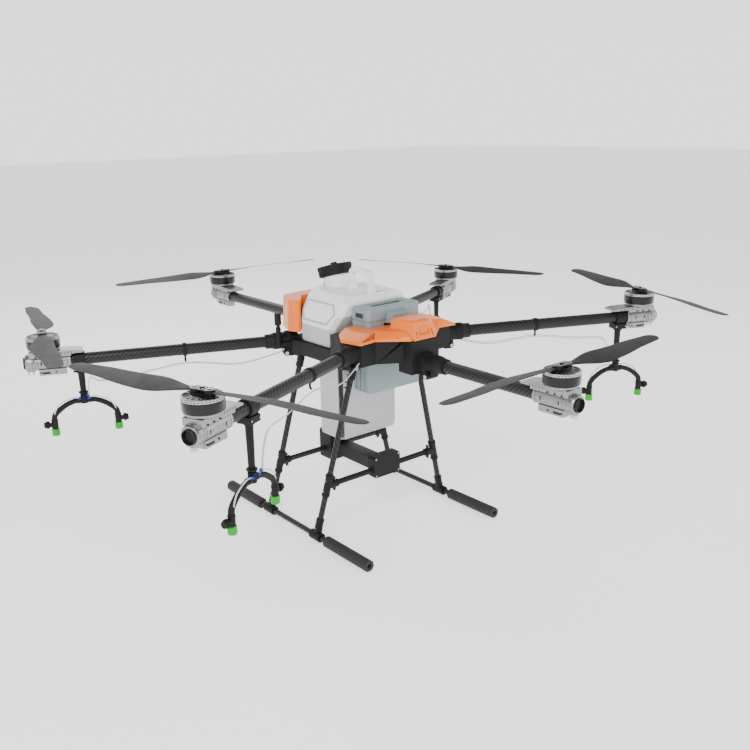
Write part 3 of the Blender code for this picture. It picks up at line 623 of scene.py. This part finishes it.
blasted_alloy = finish("blasted_alloy", paint_blasted, Metallic=1.0)
painted_gap_shade = finish("painted_gap_shade", paint_gap_shade)
clear_tab = finish("clear_tab", paint_moulded(grey(0.60), grey(0.76), 0.2), Alpha=0.7, Coat_Weight=0.4)
BOOM_X = {}
for arm in ARMS:
    if arm.boom:
        low_corner, high_corner = (Vector(corner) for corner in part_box(f"boom_{arm.number}"))
        BOOM_X[arm.number] = (arm.matrix.inverted() @ ((low_corner + high_corner) / 2)).x
for arm in ARMS:
    number, node = arm.number, f"mount_{arm.number}"
    inboard = min(0.080, -BOOM_X.get(number, -1) - 0.026)
    side = [(-0.118, 0.0275), (-inboard - 0.003, 0.0275), (-inboard - 0.003, 0.020), (0.046, 0.020),
            (0.046, 0.040), (-0.030, 0.040), (-0.100, 0.0375), (-0.118, 0.033)]
    clamp = [(0.0199, 0), (0.0242, 0), (0.0248, 0.0006), (0.0248, inboard + 0.0334),
             (0.0242, inboard + 0.034), (0.0199, inboard + 0.034)]
    seat = [(0.040, 0.036), (0.0470, 0.0415), (0.0480, 0.0425), (0.0480, 0.0478), (0.0472, 0.0484)]
    end_ring = [(0.0199, 0), (0.0265, 0), (0.0285, 0.004), (0.0285, 0.024), (0.0250, 0.030), (0.0199, 0.030)]
    alloy = [along(ring(clamp), (-inboard, 0, 0), (1, 0, 0)),
             loft([[(x, y, z) for x, z in side] for y in (-0.029, 0.029)]),
             turned(seat, 64), along(ring(end_ring), (0.030, 0, 0), (1, 0, 0)),
             block((0.016 - inboard, 0.022), (-0.015, 0.015), (-0.042, -0.022))]
    placed(f"{node}_alloy", joined("alloy", alloy, arm.matrix), blasted_alloy, node, True, 0.0009)
    # The clamp's grooves, slits and split lines are thin near-black blocks of painted shade.
    gaps = [block((x - 0.0012, x + 0.0012), (-0.0292, 0.0292), (0.0285, 0.0355))
            for x in (-0.084, -0.073, -0.062, -0.051, -0.040)]
    gaps += [block((-0.012, 0.012), (s * 0.0150, s * 0.0153), (-0.037, -0.030)) for s in (-1, 1)]
    gaps += [pipe((x, 0, 0), (x + 0.0020, 0, 0), 0.0250, 0.0240) for x in (0.010 - inboard, 0.022)]
    gaps += [pipe((0.0375, 0, 0), (0.0390, 0, 0), 0.02865, 0.0270)]
    gaps += [block((x - 0.0022, x + 0.0022), (s * 0.0225, s * 0.02495), (-0.0055, 0.0055))
             for x in (0.030 - inboard, 0.012) for s in (-1, 1)]
    gaps += [block((x - 0.0012, x + 0.0012), (s * 0.0235, s * 0.02495), (-0.0012, 0.0012))
             for x in (0.041 - inboard, 0.002) for s in (-1, 1)]
    placed(f"{node}_gaps", joined("gaps", gaps, arm.matrix), painted_gap_shade, node, False)
    tabs = [block((0.036 + x, 0.044 + x), (-0.004, 0.004), (-0.040, -0.0275)) for x in (0.0, 0.014)]
    placed(f"{node}_tabs", joined("tabs", tabs, arm.matrix), clear_tab, node, False, 0.0010)
    ring_at = arm.matrix @ Matrix.Translation((0.0475, 0, 0)) @ ALONG_X
    ribs(f"{node}_lugs", node, ring_at, 12, 0.0284, (0.0018, 0.0046, 0.0150), blasted_alloy)
    plug = along(turned([(0.0172, 0.0), (0.0172, 0.010), (0.0150, 0.012), (0.0060, 0.0125)], 40),
                 (0.046, 0, 0), (1, 0, 0))
    placed(f"{node}_plug", joined("plug", [plug], arm.matrix), black_nylon, node, False)
    places = [(arm.at(0.036, s * 0.0232, 0.0400), (0, 0, 1)) for s in (-1, 1)]
    places += [(arm.at(x, s * 0.029, 0.0235), arm.way(0, s, 0)) for x in (-0.022, 0.002, 0.026)
               for s in (-1, 1)]
    places += [(arm.at(x, s * 0.015, -0.032), arm.way(0, s, 0)) for x in (-0.030, 0.016) for s in (-1, 1)]
    screws(f"{node}_screws", node, places, 0.0028, 0.0018, black_steel)

# ---------------------------------------------------------------- motors
# A brushless motor turns its whole can: black anodised steel, with cooling slots of painted shade in a bright
# band near the top. Two forged hub plates are bolted on it and hold the blades' pins between them.


def paint_anodised(start):
    brushed = noise(start, 260, 3.0, (1.0, 1.0, 14.0))
    return {"Base Color": brushed.mixed(grey(0.004), grey(0.011)), "Roughness": brushed * 0.16 + 0.16}


def paint_machined(start):
    lines = noise(start, 190, 3.0, (1.0, 1.0, 16.0))
    return {"Base Color": lines.mixed(grey(0.34), grey(0.56)), "Roughness": lines * 0.2 + 0.16,
            "Normal": bump(start, lines, 0.0002, 0.3)}


black_anodised = finish("black_anodised", paint_anodised, Metallic=0.2, Specular_IOR_Level=0.35)
machined_alloy = finish("machined_alloy", paint_machined, Metallic=1.0)
HUB = [(0.037, 0.0), (0.034, 0.008), (0.024, 0.0145), (-0.024, 0.0145), (-0.034, 0.008), (-0.037, 0.0),
       (-0.034, -0.008), (-0.024, -0.0145), (0.024, -0.0145), (0.034, -0.008)]
CAN_R, BLADE_PLANE, BLADE_PIN = 0.0518, 0.0950, 0.0215
for arm in ARMS:
    node = f"rotor_{arm.number}"
    turn = arm.matrix @ Matrix.Rotation(arm.blades, 4, "Z")
    can = [turned([(CAN_R - 0.003, 0.0490), (CAN_R - 0.0008, 0.0500), (CAN_R, 0.0515), (CAN_R, 0.0768)], 72),
           turned([(CAN_R - 0.0025, 0.0850), (CAN_R - 0.0045, 0.0868), (0.030, 0.0870), (0.0285, 0.0878)], 72)]
    can += [loft([[(x, y, z) for x, y in HUB] for z in levels])
            for levels in ((0.0860, 0.0911), (0.0989, 0.1018))]
    can += [rod((0, 0, 0.085), (0, 0, 0.1050), 0.0060)]
    placed(f"{node}_can", joined("can", can, turn), black_anodised, node, True, 0.0006)
    bright = [(CAN_R - 0.001, 0.0765), (CAN_R, 0.0772), (CAN_R, 0.0845), (CAN_R - 0.0018, 0.0862)]
    band = [turned(bright, 72), rod((0, 0, 0.1045), (0, 0, 0.1058), 0.0036, 0.0030)]
    band += [rod((s * BLADE_PIN, 0, 0.1015), (s * BLADE_PIN, 0, 0.1036), 0.0046) for s in (-1, 1)]
    placed(f"{node}_band", joined("band", band, turn), machined_alloy, node, False)
    # The cooling slots round the band and the vents in the can's top are near-black bars of painted shade.
    ribs(f"{node}_windows", node, turn @ Matrix.Translation((0, 0, 0.0808)), 36, CAN_R - 0.0002,
         (0.0007, 0.0052, 0.0024), painted_gap_shade)
    ribs(f"{node}_vents", node, turn @ Matrix.Translation((0, 0, 0.0869)), 18, 0.0405,
         (0.0120, 0.0034, 0.0009), painted_gap_shade)
    hub_screws = [(turn @ Vector((x, y, 0.1018)), (0, 0, 1)) for x in (-0.009, 0.009)
                  for y in (-0.0095, 0.0095)]
    screws(f"{node}_screws", node, hub_screws, 0.0023, 0.0016, bright_steel)

# ---------------------------------------------------------------- propeller blades
# Twelve folding blades of carbon-filled nylon, each about 436 mm from pin to tip. The section is a thin
# cambered aerofoil that twists from root to tip. The round root is clamped between the hub plates.


def paint_blade(start):
    flow, grain = noise(start, 26, 5.0), noise(start, 1100, 2.0)
    return {"Base Color": (flow * 0.6 + grain * 0.4).mixed(grey(0.009), grey(0.020)),
            "Roughness": flow * 0.18 + grain * 0.1 + 0.40, "Normal": bump(start, grain, 0.0002, 0.25)}


def blade_shape(t, spin, count=14):
    """The closed aerofoil at a fraction t of the blade, inside the CAD blade's own outline."""
    rise, fall = math.sin(min(t / 0.30, 1.0) * math.pi / 2) ** 1.5, max(t - 0.30, 0) ** 1.15
    chord = 0.024 + 0.050 * rise - 0.046 * fall
    if t > 0.93:
        chord *= math.sqrt(max(1 - ((t - 0.93) / 0.075) ** 2, 0.06))
    sweep = 0.010 * math.sin(math.pi * min(t / 0.7, 1)) - 0.016 * t ** 2
    twist = math.radians(15) * math.sin(min(t / 0.25, 1) * math.pi / 2) * (1 - 0.62 * t)
    thick = 0.0024 + 0.0038 * (1 - min(t / 0.35, 1))
    points = []
    for i in range(2 * count):
        turn = math.pi * i / count
        u, full = -0.5 * math.cos(turn), 1.0 if turn < math.pi else 0.72
        v = 0.5 * math.sin(turn) * full * (1 - 0.35 * (u + 0.5)) + 0.18 * math.sin(turn) ** 2
        points.append((u * chord, v * thick * 0.9))
    return [(spin * (sweep + a * math.cos(twist) - h * math.sin(twist)),
             h * math.cos(twist) - a * math.sin(twist)) for a, h in points]


blade_nylon = finish("blade_nylon", paint_blade, Specular_IOR_Level=0.22)
BLADE_LONG = 0.4295
STATIONS = ([0.0, 0.015, 0.03, 0.05] + [0.07 + 0.86 * i / 30 for i in range(31)]
            + [0.945, 0.96, 0.972, 0.983, 0.992, 1.0])
for arm in ARMS:
    turn = arm.matrix @ Matrix.Rotation(arm.blades, 4, "Z")
    spin = arm.number % 2 * 2 - 1
    for side, letter in ((1, "a"), (-1, "b")):
        node = f"blade_{arm.number}{letter}"
        sections = []
        for t in STATIONS:
            x = side * (BLADE_PIN + 0.006 + t * BLADE_LONG)
            sections.append([(x, side * a, BLADE_PLANE + h) for a, h in blade_shape(t, spin)])
        placed(f"{node}_wing", joined("wing", [loft(sections)], turn), blade_nylon, node, True, 0.0, 2, 50)
        pin = side * BLADE_PIN
        root = [rod((pin, 0, BLADE_PLANE - 0.0034), (pin, 0, BLADE_PLANE + 0.0034), 0.0128, count=40)]
        placed(f"{node}_root", joined("root", root, turn), blade_nylon, node, False)

# ---------------------------------------------------------------- spray booms
# Each side arm carries a boom of black glass-filled nylon: a clamp, a tapered rod, a tee and two arched
# arms. A nozzle body hangs at each end with a green spray cap and a shut-off knob. Collets lock the tubing.
TEE_UP = 0.118                               # from a boom's lowest point up to its tee


green_cap = finish("green_cap", paint_moulded((0.0, 0.26, 0.001, 1), (0.001, 0.42, 0.003, 1), 0.3),
                   Specular_IOR_Level=0.3)
blue_collet = finish("blue_collet", paint_moulded((0.012, 0.006, 0.30, 1), (0.020, 0.010, 0.48, 1), 0.3),
                     Specular_IOR_Level=0.3)
white_tube = finish("white_tube", paint_moulded(grey(0.62), grey(0.78), 0.28), Alpha=0.8, Coat_Weight=0.4)
clear_tube = finish("clear_tube", paint_moulded(grey(0.50, 0.02), grey(0.68, 0.02), 0.18), Alpha=0.62,
                    Coat_Weight=0.5)
for arm in ARMS:
    if not arm.boom:
        continue
    number, node, x = arm.number, f"boom_{arm.number}", BOOM_X[arm.number]
    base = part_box(node)[0][2] - arm.at(0, 0, 0).z
    tee = base + TEE_UP
    black = [pipe((x - 0.017, 0, 0), (x + 0.017, 0, 0), 0.0258, 0.0199),
             block((x - 0.023, x + 0.023), (-0.0215, 0.0215), (-0.0395, -0.0205)),
             rod((x, 0, -0.030), (x, 0, tee - 0.004), 0.0113, 0.0088),
             rod((x, 0, tee + 0.018), (x, 0, tee + 0.024), 0.0153),
             rod((x, 0, tee - 0.016), (x, 0, tee + 0.014), 0.0123),
             rod((x, 0, -0.046), (x, 0, -0.038), 0.0150)]
    collets = [rod((x - 0.0135, 0.018, tee + 0.012), (x - 0.0150, 0.0195, tee + 0.020), 0.0052)]
    caps, tubes = [], []
    for s in (-1, 1):
        span, end = 0.100 * s, x + 0.100 * s
        route = smooth_route([(x, 0, tee - 0.006), (x + 0.25 * span, 0, tee - 0.006),
                              (x + 0.55 * span, 0, tee - 0.016), (x + 0.82 * span, 0, tee - 0.034),
                              (x + 0.97 * span, 0, tee - 0.050), (x + span, 0, tee - 0.066)], 6)
        black += [bent_rod(route, [0.0084 + 0.0008 * i / len(route) for i in range(len(route))], 24),
                  rod((x + 0.012 * s, 0, tee - 0.006), (x + 0.026 * s, 0, tee - 0.006), 0.0100),
                  rod((end, 0, base + 0.020), (end, 0, base + 0.056), 0.0103),
                  rod((end, 0, base + 0.047), (end, 0, base + 0.052), 0.0112),
                  rod((end, 0, base + 0.036), (end + s * 0.022, 0, base + 0.038), 0.0078),
                  rod((end + s * 0.017, 0, base + 0.038), (end + s * 0.034, 0, base + 0.039), 0.0124, 0.0095)]
        cap = [(0.0100, 0.0), (0.0116, 0.0008), (0.0130, 0.004), (0.0126, 0.0235), (0.0118, 0.024)]
        caps.append(along(turned(cap, 40), (end, 0, base), (end, 0, 1)))
        collets.append(rod((x + s * 0.010, 0.0095, tee + 0.003), (x + s * 0.0175, 0.0095, tee + 0.003), 0.0050))
        arc = smooth_route([(x + 0.013 * s, 0.0085, tee + 0.004), (x + 0.40 * span, 0.0092, tee + 0.006),
                            (x + 0.78 * span, 0.0080, tee - 0.012), (x + 0.94 * span, 0.0070, tee - 0.036),
                            (x + 0.97 * span, 0.006, tee - 0.056)], 8)
        tubes.append(bent_rod(arc, [0.0021] * len(arc), 14))
        knob = arm.matrix @ Matrix.Translation((end + s * 0.0225, 0, base + 0.0384)) @ ALONG_X
        ribs(f"{node}_grip_{'in' if s < 0 else 'out'}", node, knob, 14, 0.0118, (0.0016, 0.0016, 0.009),
             black_nylon)
    placed(f"{node}_nylon", joined("nylon", black, arm.matrix), black_nylon, node, True, 0.0007)
    placed(f"{node}_caps", joined("caps", caps, arm.matrix), green_cap, node, False)
    placed(f"{node}_collets", joined("collets", collets, arm.matrix), blue_collet, node, False)
    placed(f"{node}_tubes", joined("tubes", tubes, arm.matrix), white_tube, f"hose_{number}", False)
    places = [(arm.at(x + u * 0.018, s * 0.0215, -0.0300), arm.way(0, s, 0)) for u in (-1, 1)
              for s in (-1, 1)]
    screws(f"{node}_screws", node, places, 0.0026, 0.0016, bright_steel)

# ---------------------------------------------------------------- spray lines
# A pair of thin clear tubes brings liquid from the frame to each boom. They leave beside the fold joint,
# hang in two easy bows from the hook under the arm, and drop into the top of the tee.
for arm in ARMS:
    if not arm.boom:
        continue
    x, hook, face = BOOM_X[arm.number], HOOKS[arm.number], arm.face
    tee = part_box(f"boom_{arm.number}")[0][2] - arm.at(0, 0, 0).z + TEE_UP
    quarter, late = face + (hook - face) * 0.5, hook + (x - hook) * 0.5
    route = smooth_route([(face + 0.012, 0.0385, -0.022), (face + 0.040, 0.038, -0.034),
                          (quarter, 0.028, -0.060), (hook, 0.0130, -0.044), (late, 0.018, -0.066),
                          (x - 0.060, 0.020, -0.074), (x - 0.026, 0.0225, tee + 0.075),
                          (x - 0.016, 0.021, tee + 0.016)], 8)
    lines = [bent_rod([p + Vector((0, s * 0.0022, s * 0.0022)) for p in route], [0.0017] * len(route), 12)
             for s in (-1, 1)]
    placed(f"hose_{arm.number}_pair", joined("pair", lines, arm.matrix), clear_tube, f"hose_{arm.number}")

# ---------------------------------------------------------------- landing gear
# Four slanted carbon legs stand on two carbon skids. Black cast joints clamp the legs to the skids, the
# crossbars and the frame, and closed-cell foam sleeves cover the skids' ends.


def paint_foam(start):
    place, cloud = start.node("ShaderNodeTexCoord", out="Object"), noise(start, 30, 3.0)
    cells = start.node("ShaderNodeTexVoronoi", {}, {"Vector": place, "Scale": 900.0})
    return {"Base Color": cloud.mixed(grey(0.014, 0.03), grey(0.030, 0.03)),
            "Roughness": cloud * 0.1 + 0.82, "Normal": bump(start, cells, 0.0006, 0.7)}


foam_rubber = finish("foam_rubber", paint_foam)
LEG_R, JOINT_Z, SLEEVE_R = 0.0098, 0.190, 0.0190
SKID_R, SKID_X, SKID_HALF = 0.0094, 0.282, 0.395
SKID_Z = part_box("crossbar_rear")[0][2] + LEG_R - JOINT_Z + SLEEVE_R
for side, word in ((-1, "left"), (1, "right")):
    x, node = side * SKID_X, f"skid_{word}"

    def on_skid(y):
        return Vector((x, 0.005 + y, SKID_Z)) + DATUM

    lie = Matrix.Translation(on_skid(0)) @ Matrix.Rotation(math.pi / 2, 4, "Z")
    tube = joined("tube", [pipe(on_skid(-SKID_HALF), on_skid(SKID_HALF), SKID_R, SKID_R - 0.0020, 36)])
    placed(f"{node}_tube", woven(tube, lie, SKID_R, 12), carbon_twill, node)
    sleeves = []
    for s in (-1, 1):
        profile = [(0.0096, 0.0), (0.0175, 0.0), (SLEEVE_R, 0.0018), (SLEEVE_R, 0.218), (0.0178, 0.220),
                   (0.0078, 0.220), (0.0078, 0.206), (0.0096, 0.205)]
        sleeves.append(along(ring(profile, 44), on_skid(s * 0.195), on_skid(s * 0.5)))
    placed(f"{node}_sleeves", joined("sleeves", sleeves), foam_rubber, node, False)
for sx, wide in ((-1, "left"), (1, "right")):
    for sy, deep in ((-1, "front"), (1, "rear")):
        node = f"leg_{deep}_{wide}"
        foot = Vector((sx * SKID_X, 0.144 if sy > 0 else -0.134, SKID_Z)) + DATUM
        joint = Vector((sx * 0.2375, 0.136 if sy > 0 else -0.144, JOINT_Z)) + DATUM
        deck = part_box(node)[1][2]
        way = (joint - foot).normalized()
        top = joint + way * ((deck - 0.005 - joint.z) / way.z)
        lie = Matrix.Translation(foot) @ way.to_track_quat("X", "Z").to_matrix().to_4x4()
        tube = joined("tube", [rod(foot + way * 0.012, top, LEG_R)])
        placed(f"{node}_tube", woven(tube, lie, LEG_R, 12), carbon_twill, node)
        level = Vector((0, 1, 0))
        inward = Vector((-sx, 0, 0))
        cast = [pipe(foot - level * 0.026, foot + level * 0.026, 0.0163, 0.0098),
                rod(foot + way * 0.011, foot + way * 0.060, 0.0145, 0.0123),
                pipe(foot + way * 0.048, foot + way * 0.060, 0.0138, 0.0099),
                rod(joint - way * 0.040, joint + way * 0.040, 0.0128),
                rod(joint, joint + inward * 0.0345, 0.0138),
                pipe(joint + inward * 0.034, joint + inward * 0.0398, 0.0138, 0.0099),
                block((joint.x - sx * 0.024, joint.x - sx * 0.030), (joint.y - 0.006, joint.y + 0.006),
                      (joint.z - 0.024, joint.z + 0.024)),
                rod(top - way * 0.045, top, 0.0133),
                block((top.x - 0.021, top.x + 0.021), (top.y - 0.018, top.y + 0.018), (deck - 0.009, deck))]
        cast += [pipe(joint + way * u, joint + way * (u + 0.008), 0.0142, 0.0120) for u in (-0.036, 0.028)]
        placed(f"{node}_cast", joined("cast", cast), black_nylon, node, False, 0.0006)
        outward = Vector((sx, 0, 0))
        places = [(foot + way * 0.030 + outward * 0.0132, outward),
                  (joint + way * 0.018 + outward * 0.0122, outward),
                  (joint - way * 0.018 + outward * 0.0122, outward),
                  (top - way * 0.022 + outward * 0.0126, outward)]
        places += [(joint + Vector((-sx * 0.027, -0.006, z)), (0, -1, 0)) for z in (-0.019, 0.019)]
        screws(f"{node}_screws", node, places, 0.0026, 0.0018, bright_steel)
        if sy < 0:
            clips = []
            for down in (0.052, 0.070):
                eye = top - way * down + outward * 0.016
                clips.append(along(ring([(0.0052 + u, v) for u, v in circle(0.0011, 10)]), eye, eye + way))
            placed(f"{node}_clips", joined("clips", clips), black_nylon, node, False)
low_corner, high_corner = (Vector(corner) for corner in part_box("crossbar_rear"))
centre = (low_corner + high_corner) / 2
ends = [Vector((x, centre.y, centre.z)) for x in (low_corner.x, high_corner.x)]
bar = joined("bar", [rod(ends[0], ends[1], LEG_R)])
placed("crossbar_weave", woven(bar, Matrix.Translation(centre), LEG_R, 12), carbon_twill, "crossbar_rear")

# ---------------------------------------------------------------- underbody
# Under the tank a moulded beam runs from a box in front, which carries the front crossbar, to the diaphragm pump's
# housing behind. Both are black nylon, screwed together at their corners.
refined("spine_beam", black_nylon, 0.0016, 3)
refined("pump_housing", black_nylon, 0.0020, 3)
for node, middle, half, levels in (("spine_beam", 0.0055, 0.050, (0.171, 0.232)),
                                   ("pump_housing", -0.001, 0.036, (0.158, 0.254))):
    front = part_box(node)[0][1]
    places = [(Vector((middle + u * half, front, z)), (0, -1, 0)) for u in (-1, 1) for z in levels]
    screws(f"{node}_screws", node, places, 0.0032, 0.0016, bright_steel)

# ---------------------------------------------------------------- orange covers
# Two injection-moulded covers close the frame's top: a broad one with two lobes and a nose block in front,
# and a tall wrapped one behind the tank. Both are glossy orange plastic, a little scuffed in places.


def paint_orange(start):
    cloud, peel, dust = noise(start, 9, 3.0), noise(start, 420, 2.0), noise(start, 75, 6.0)
    clean = cloud.mixed((0.84, 0.155, 0.002, 1), (0.95, 0.200, 0.004, 1))
    worn = (dust > 0.71).mixed(clean, (0.74, 0.17, 0.02, 1))
    return {"Base Color": worn, "Roughness": peel * 0.06 + dust * 0.16 + 0.22,
            "Normal": bump(start, peel, 0.0003, 0.18)}


orange_plastic = finish("orange_plastic", paint_orange, Coat_Weight=0.15, Coat_Roughness=0.2,
                        Specular_IOR_Level=0.35)
refined("front_cover", orange_plastic, 0.0022, 3, 24)
refined("rear_cover", orange_plastic, 0.0022, 3, 30)
low_corner, high_corner = (Vector(corner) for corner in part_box("front_cover"))
flange_z, mid_y = low_corner.z + 0.0080, DATUM.y
places = [(Vector((s * x, mid_y + y, flange_z)), (0, 0, 1)) for s in (-1, 1)
          for x, y in ((0.193, -0.262), (0.198, -0.226), (0.183, -0.168), (0.079, -0.322))]
screws("front_cover_screws", "front_cover", places, 0.0040, 0.0018, black_steel, 20)
# Near-black inserts of painted shade fill the two slots in the nose.
gaps = [block((s * 0.0305, s * 0.0335), (mid_y - 0.3520, mid_y - 0.3490), (0.6950, 0.7110))
        for s in (-1, 1)]
placed("nose_slots", joined("gaps", gaps), painted_gap_shade, "front_cover", False)
outline = [(-0.018, 0.704), (0.018, 0.704), (0.0145, 0.7245), (-0.0145, 0.7245)]
badge = loft([[(x, mid_y - y, z) for x, z in outline] for y in (0.3505, 0.3530)])
placed("nose_panel", joined("badge", [badge]), orange_plastic, "front_cover", False, 0.0008)
strip = [block((-0.030, 0.030), (mid_y - 0.356, mid_y - 0.330), (0.5748, 0.5782))]
board_green = finish("board_green", paint_moulded((0.004, 0.05, 0.010, 1), (0.008, 0.11, 0.02, 1), 0.4))
placed("status_board", joined("strip", strip), board_green, "main_frame", False, 0.0005)
back_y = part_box("rear_cover")[1][1]
places = [(Vector((s * 0.060, back_y - 0.0016, z)), (0, 1, 0)) for s in (-1, 1) for z in (0.694, 0.752)]
screws("rear_cover_screws", "rear_cover", places, 0.0036, 0.0016, black_steel, 20)

# ---------------------------------------------------------------- battery
# The flight battery is a sealed pack in textured grey-green ABS. It has a finger slot in its top, a charge
# window on its left end, a seam all round, each dark with painted shade, and a wedge-shaped plug on its front.


def paint_battery(start):
    spark, cloud = noise(start, 1000, 2.0), noise(start, 12, 4.0)
    shade = (cloud * 0.7 + spark * 0.3).mixed((0.185, 0.228, 0.240, 1), (0.250, 0.300, 0.315, 1))
    return {"Base Color": shade, "Roughness": spark * 0.14 + cloud * 0.12 + 0.36,
            "Normal": bump(start, spark, 0.0004, 0.35)}


grey_abs = finish("grey_abs", paint_battery)
refined("battery", grey_abs, 0.0026, 3)
refined("battery_plug", grey_abs, 0.0018, 3, 28)
low_corner, high_corner = (Vector(corner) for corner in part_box("battery"))
x0, y0, z1 = low_corner.x, low_corner.y, high_corner.z
# Near-black blocks of painted shade sit in the finger slot, the charge window and a slot in the front face.
inserts = [block((-0.0605, 0.0705), (y0 + 0.0365, y0 + 0.0655), (z1 - 0.0120, z1 - 0.0060)),
           block((x0 + 0.0004, x0 + 0.0016), (y0 + 0.028, y0 + 0.064), (0.7388, 0.7512)),
           block((-0.0440, 0.0590), (y0 + 0.0045, y0 + 0.0065), (0.7028, 0.7167))]
placed("battery_inserts", joined("inserts", inserts), painted_gap_shade, "battery", False, 0.0004)
# The seam is a thin near-black band of painted shade, set just proud of the walls.
y1, cut, proud = high_corner.y, 0.008, 0.0002
outline = [(x0 + cut, y0), (-x0 - cut, y0), (-x0, y0 + cut), (-x0, y1 - cut), (-x0 - cut, y1), (x0 + cut, y1),
           (x0, y1 - cut), (x0, y0 + cut)]
band = loft([[(x * 1.0026, y + (proud if y > y0 else -proud), z) for x, y in outline]
             for z in (0.7290, 0.7304)])
placed("battery_seam", joined("seam", [band]), painted_gap_shade, "battery", False)
lamps = [rod((x0 - 0.0003, y, 0.745), (x0 + 0.002, y, 0.745), 0.0011, count=16)
         for y in (y0 + 0.034 + 0.006 * i for i in range(4))]
placed("battery_lamps", joined("lamps", lamps), green_cap, "battery", False)

# ---------------------------------------------------------------- tank
# The blow-moulded polyethylene tank drops through the frame and spreads into shoulders over it. Its wall
# is milky and slightly wavy, greyer low down. A loop handle is moulded in, and a cap closes a leaning neck.


def paint_tank(start):
    place = start.node("ShaderNodeTexCoord", out="Object")
    height = start.node("ShaderNodeSeparateXYZ", {}, {0: place}, out="Z")
    cloud, fine = noise(start, 7, 3.0), noise(start, 500, 2.0)
    shoulder = height.node("ShaderNodeMapRange", {"interpolation_type": "SMOOTHSTEP"},
                           {"Value": height, "From Min": 0.682, "From Max": 0.694})
    low_part, high_part = cloud.mixed(grey(0.42, -0.01), grey(0.50, -0.01)), cloud.mixed(grey(0.84), grey(0.90))
    return {"Base Color": shoulder.mixed(low_part, high_part), "Roughness": cloud * 0.12 + 0.30,
            "Normal": bump(start, cloud * 0.8 + fine * 0.2, 0.0010, 0.35)}


milky_plastic = finish("milky_plastic", paint_tank, Subsurface_Weight=0.15,
                       Subsurface_Radius=(0.01, 0.01, 0.01))
refined("tank", milky_plastic, 0.0030, 3, 16)


def on_shoulder(side, y, z):
    """A point on the tank's outer shoulder wall, which leans in above its bend."""
    wide = 0.157 - (z - 0.688) * 0.085 if z < 0.735 else 0.153 - (z - 0.735) * 0.488
    return Vector((side * (wide + 0.0003), y, z)) + DATUM


# A bead traces a hexagonal panel on each shoulder; its grey is painted shade along the moulded ridge.
beads = []
for side in (-1, 1):
    corners = [(0.070, 0.704), (0.075, 0.735), (0.070, 0.768), (-0.072, 0.768), (-0.094, 0.742), (-0.054, 0.704)]
    path = []
    for (ya, za), (yb, zb) in zip(corners, corners[1:] + corners[:1]):
        path += [on_shoulder(side, ya + (yb - ya) * i / 8, za + (zb - za) * i / 8) for i in range(8)]
    path.append(path[0])
    beads.append(bent_rod(path, [0.0030] * len(path), 12))
tank_ridge_shade = finish("tank_ridge_shade", paint_moulded(grey(0.38), grey(0.46), 0.4))
placed("tank_panel_beads", joined("beads", beads), tank_ridge_shade, "tank", False)
loop = smooth_route([(0, 0.000, 0.792), (0, 0.000, 0.845), (0, -0.010, 0.8615), (0, -0.040, 0.8625),
                     (0, -0.082, 0.8595), (0, -0.0945, 0.848), (0, -0.100, 0.790)], 8)
sections = []
for i, point in enumerate(loop):
    way = (loop[min(i + 1, len(loop) - 1)] - loop[max(i - 1, 0)]).normalized()
    out = way.cross(Vector((1, 0, 0)))
    flare = 1 + 0.7 * max(0, (0.812 - point.z) / 0.022)
    sections.append([point + DATUM + Vector((1, 0, 0)) * math.copysign(abs(x) ** 0.6, x) * 0.0125 * flare
                     + out * math.copysign(abs(y) ** 0.6, y) * 0.0082 * flare for x, y in circle(1, 28)])
placed("tank_handle", joined("handle", [loft(sections)]), milky_plastic, "tank", False)
neck = next(joint for joint in record["behaviour"]["joints"] if joint["name"] == "filler_cap_turn")
lean = Vector(neck["axis"]).to_track_quat("Z", "X").to_matrix().to_4x4()
on_neck = Matrix.Translation(Vector((0, 0.077, 0.785)) + DATUM) @ lean
cap = turned([(0.0545, 0.0465), (0.0570, 0.0480), (0.0575, 0.0520), (0.0575, 0.0625), (0.0590, 0.0665),
              (0.0598, 0.0790), (0.0590, 0.0815), (0.0480, 0.0825), (0.0440, 0.0805), (0.0180, 0.0805),
              (0.0125, 0.0825), (0.0112, 0.0915)], 72)
placed("filler_cap_body", joined("cap", [cap], on_neck), black_nylon, "filler_cap")
ribs("filler_cap_ribs", "filler_cap", on_neck @ Matrix.Translation((0, 0, 0.0565)), 36, 0.0576,
     (0.0026, 0.0030, 0.0135), black_nylon)
ribs("filler_cap_teeth", "filler_cap", on_neck @ Matrix.Translation((0, 0, 0.0735)), 48, 0.0594,
     (0.0014, 0.0022, 0.0100), black_nylon)
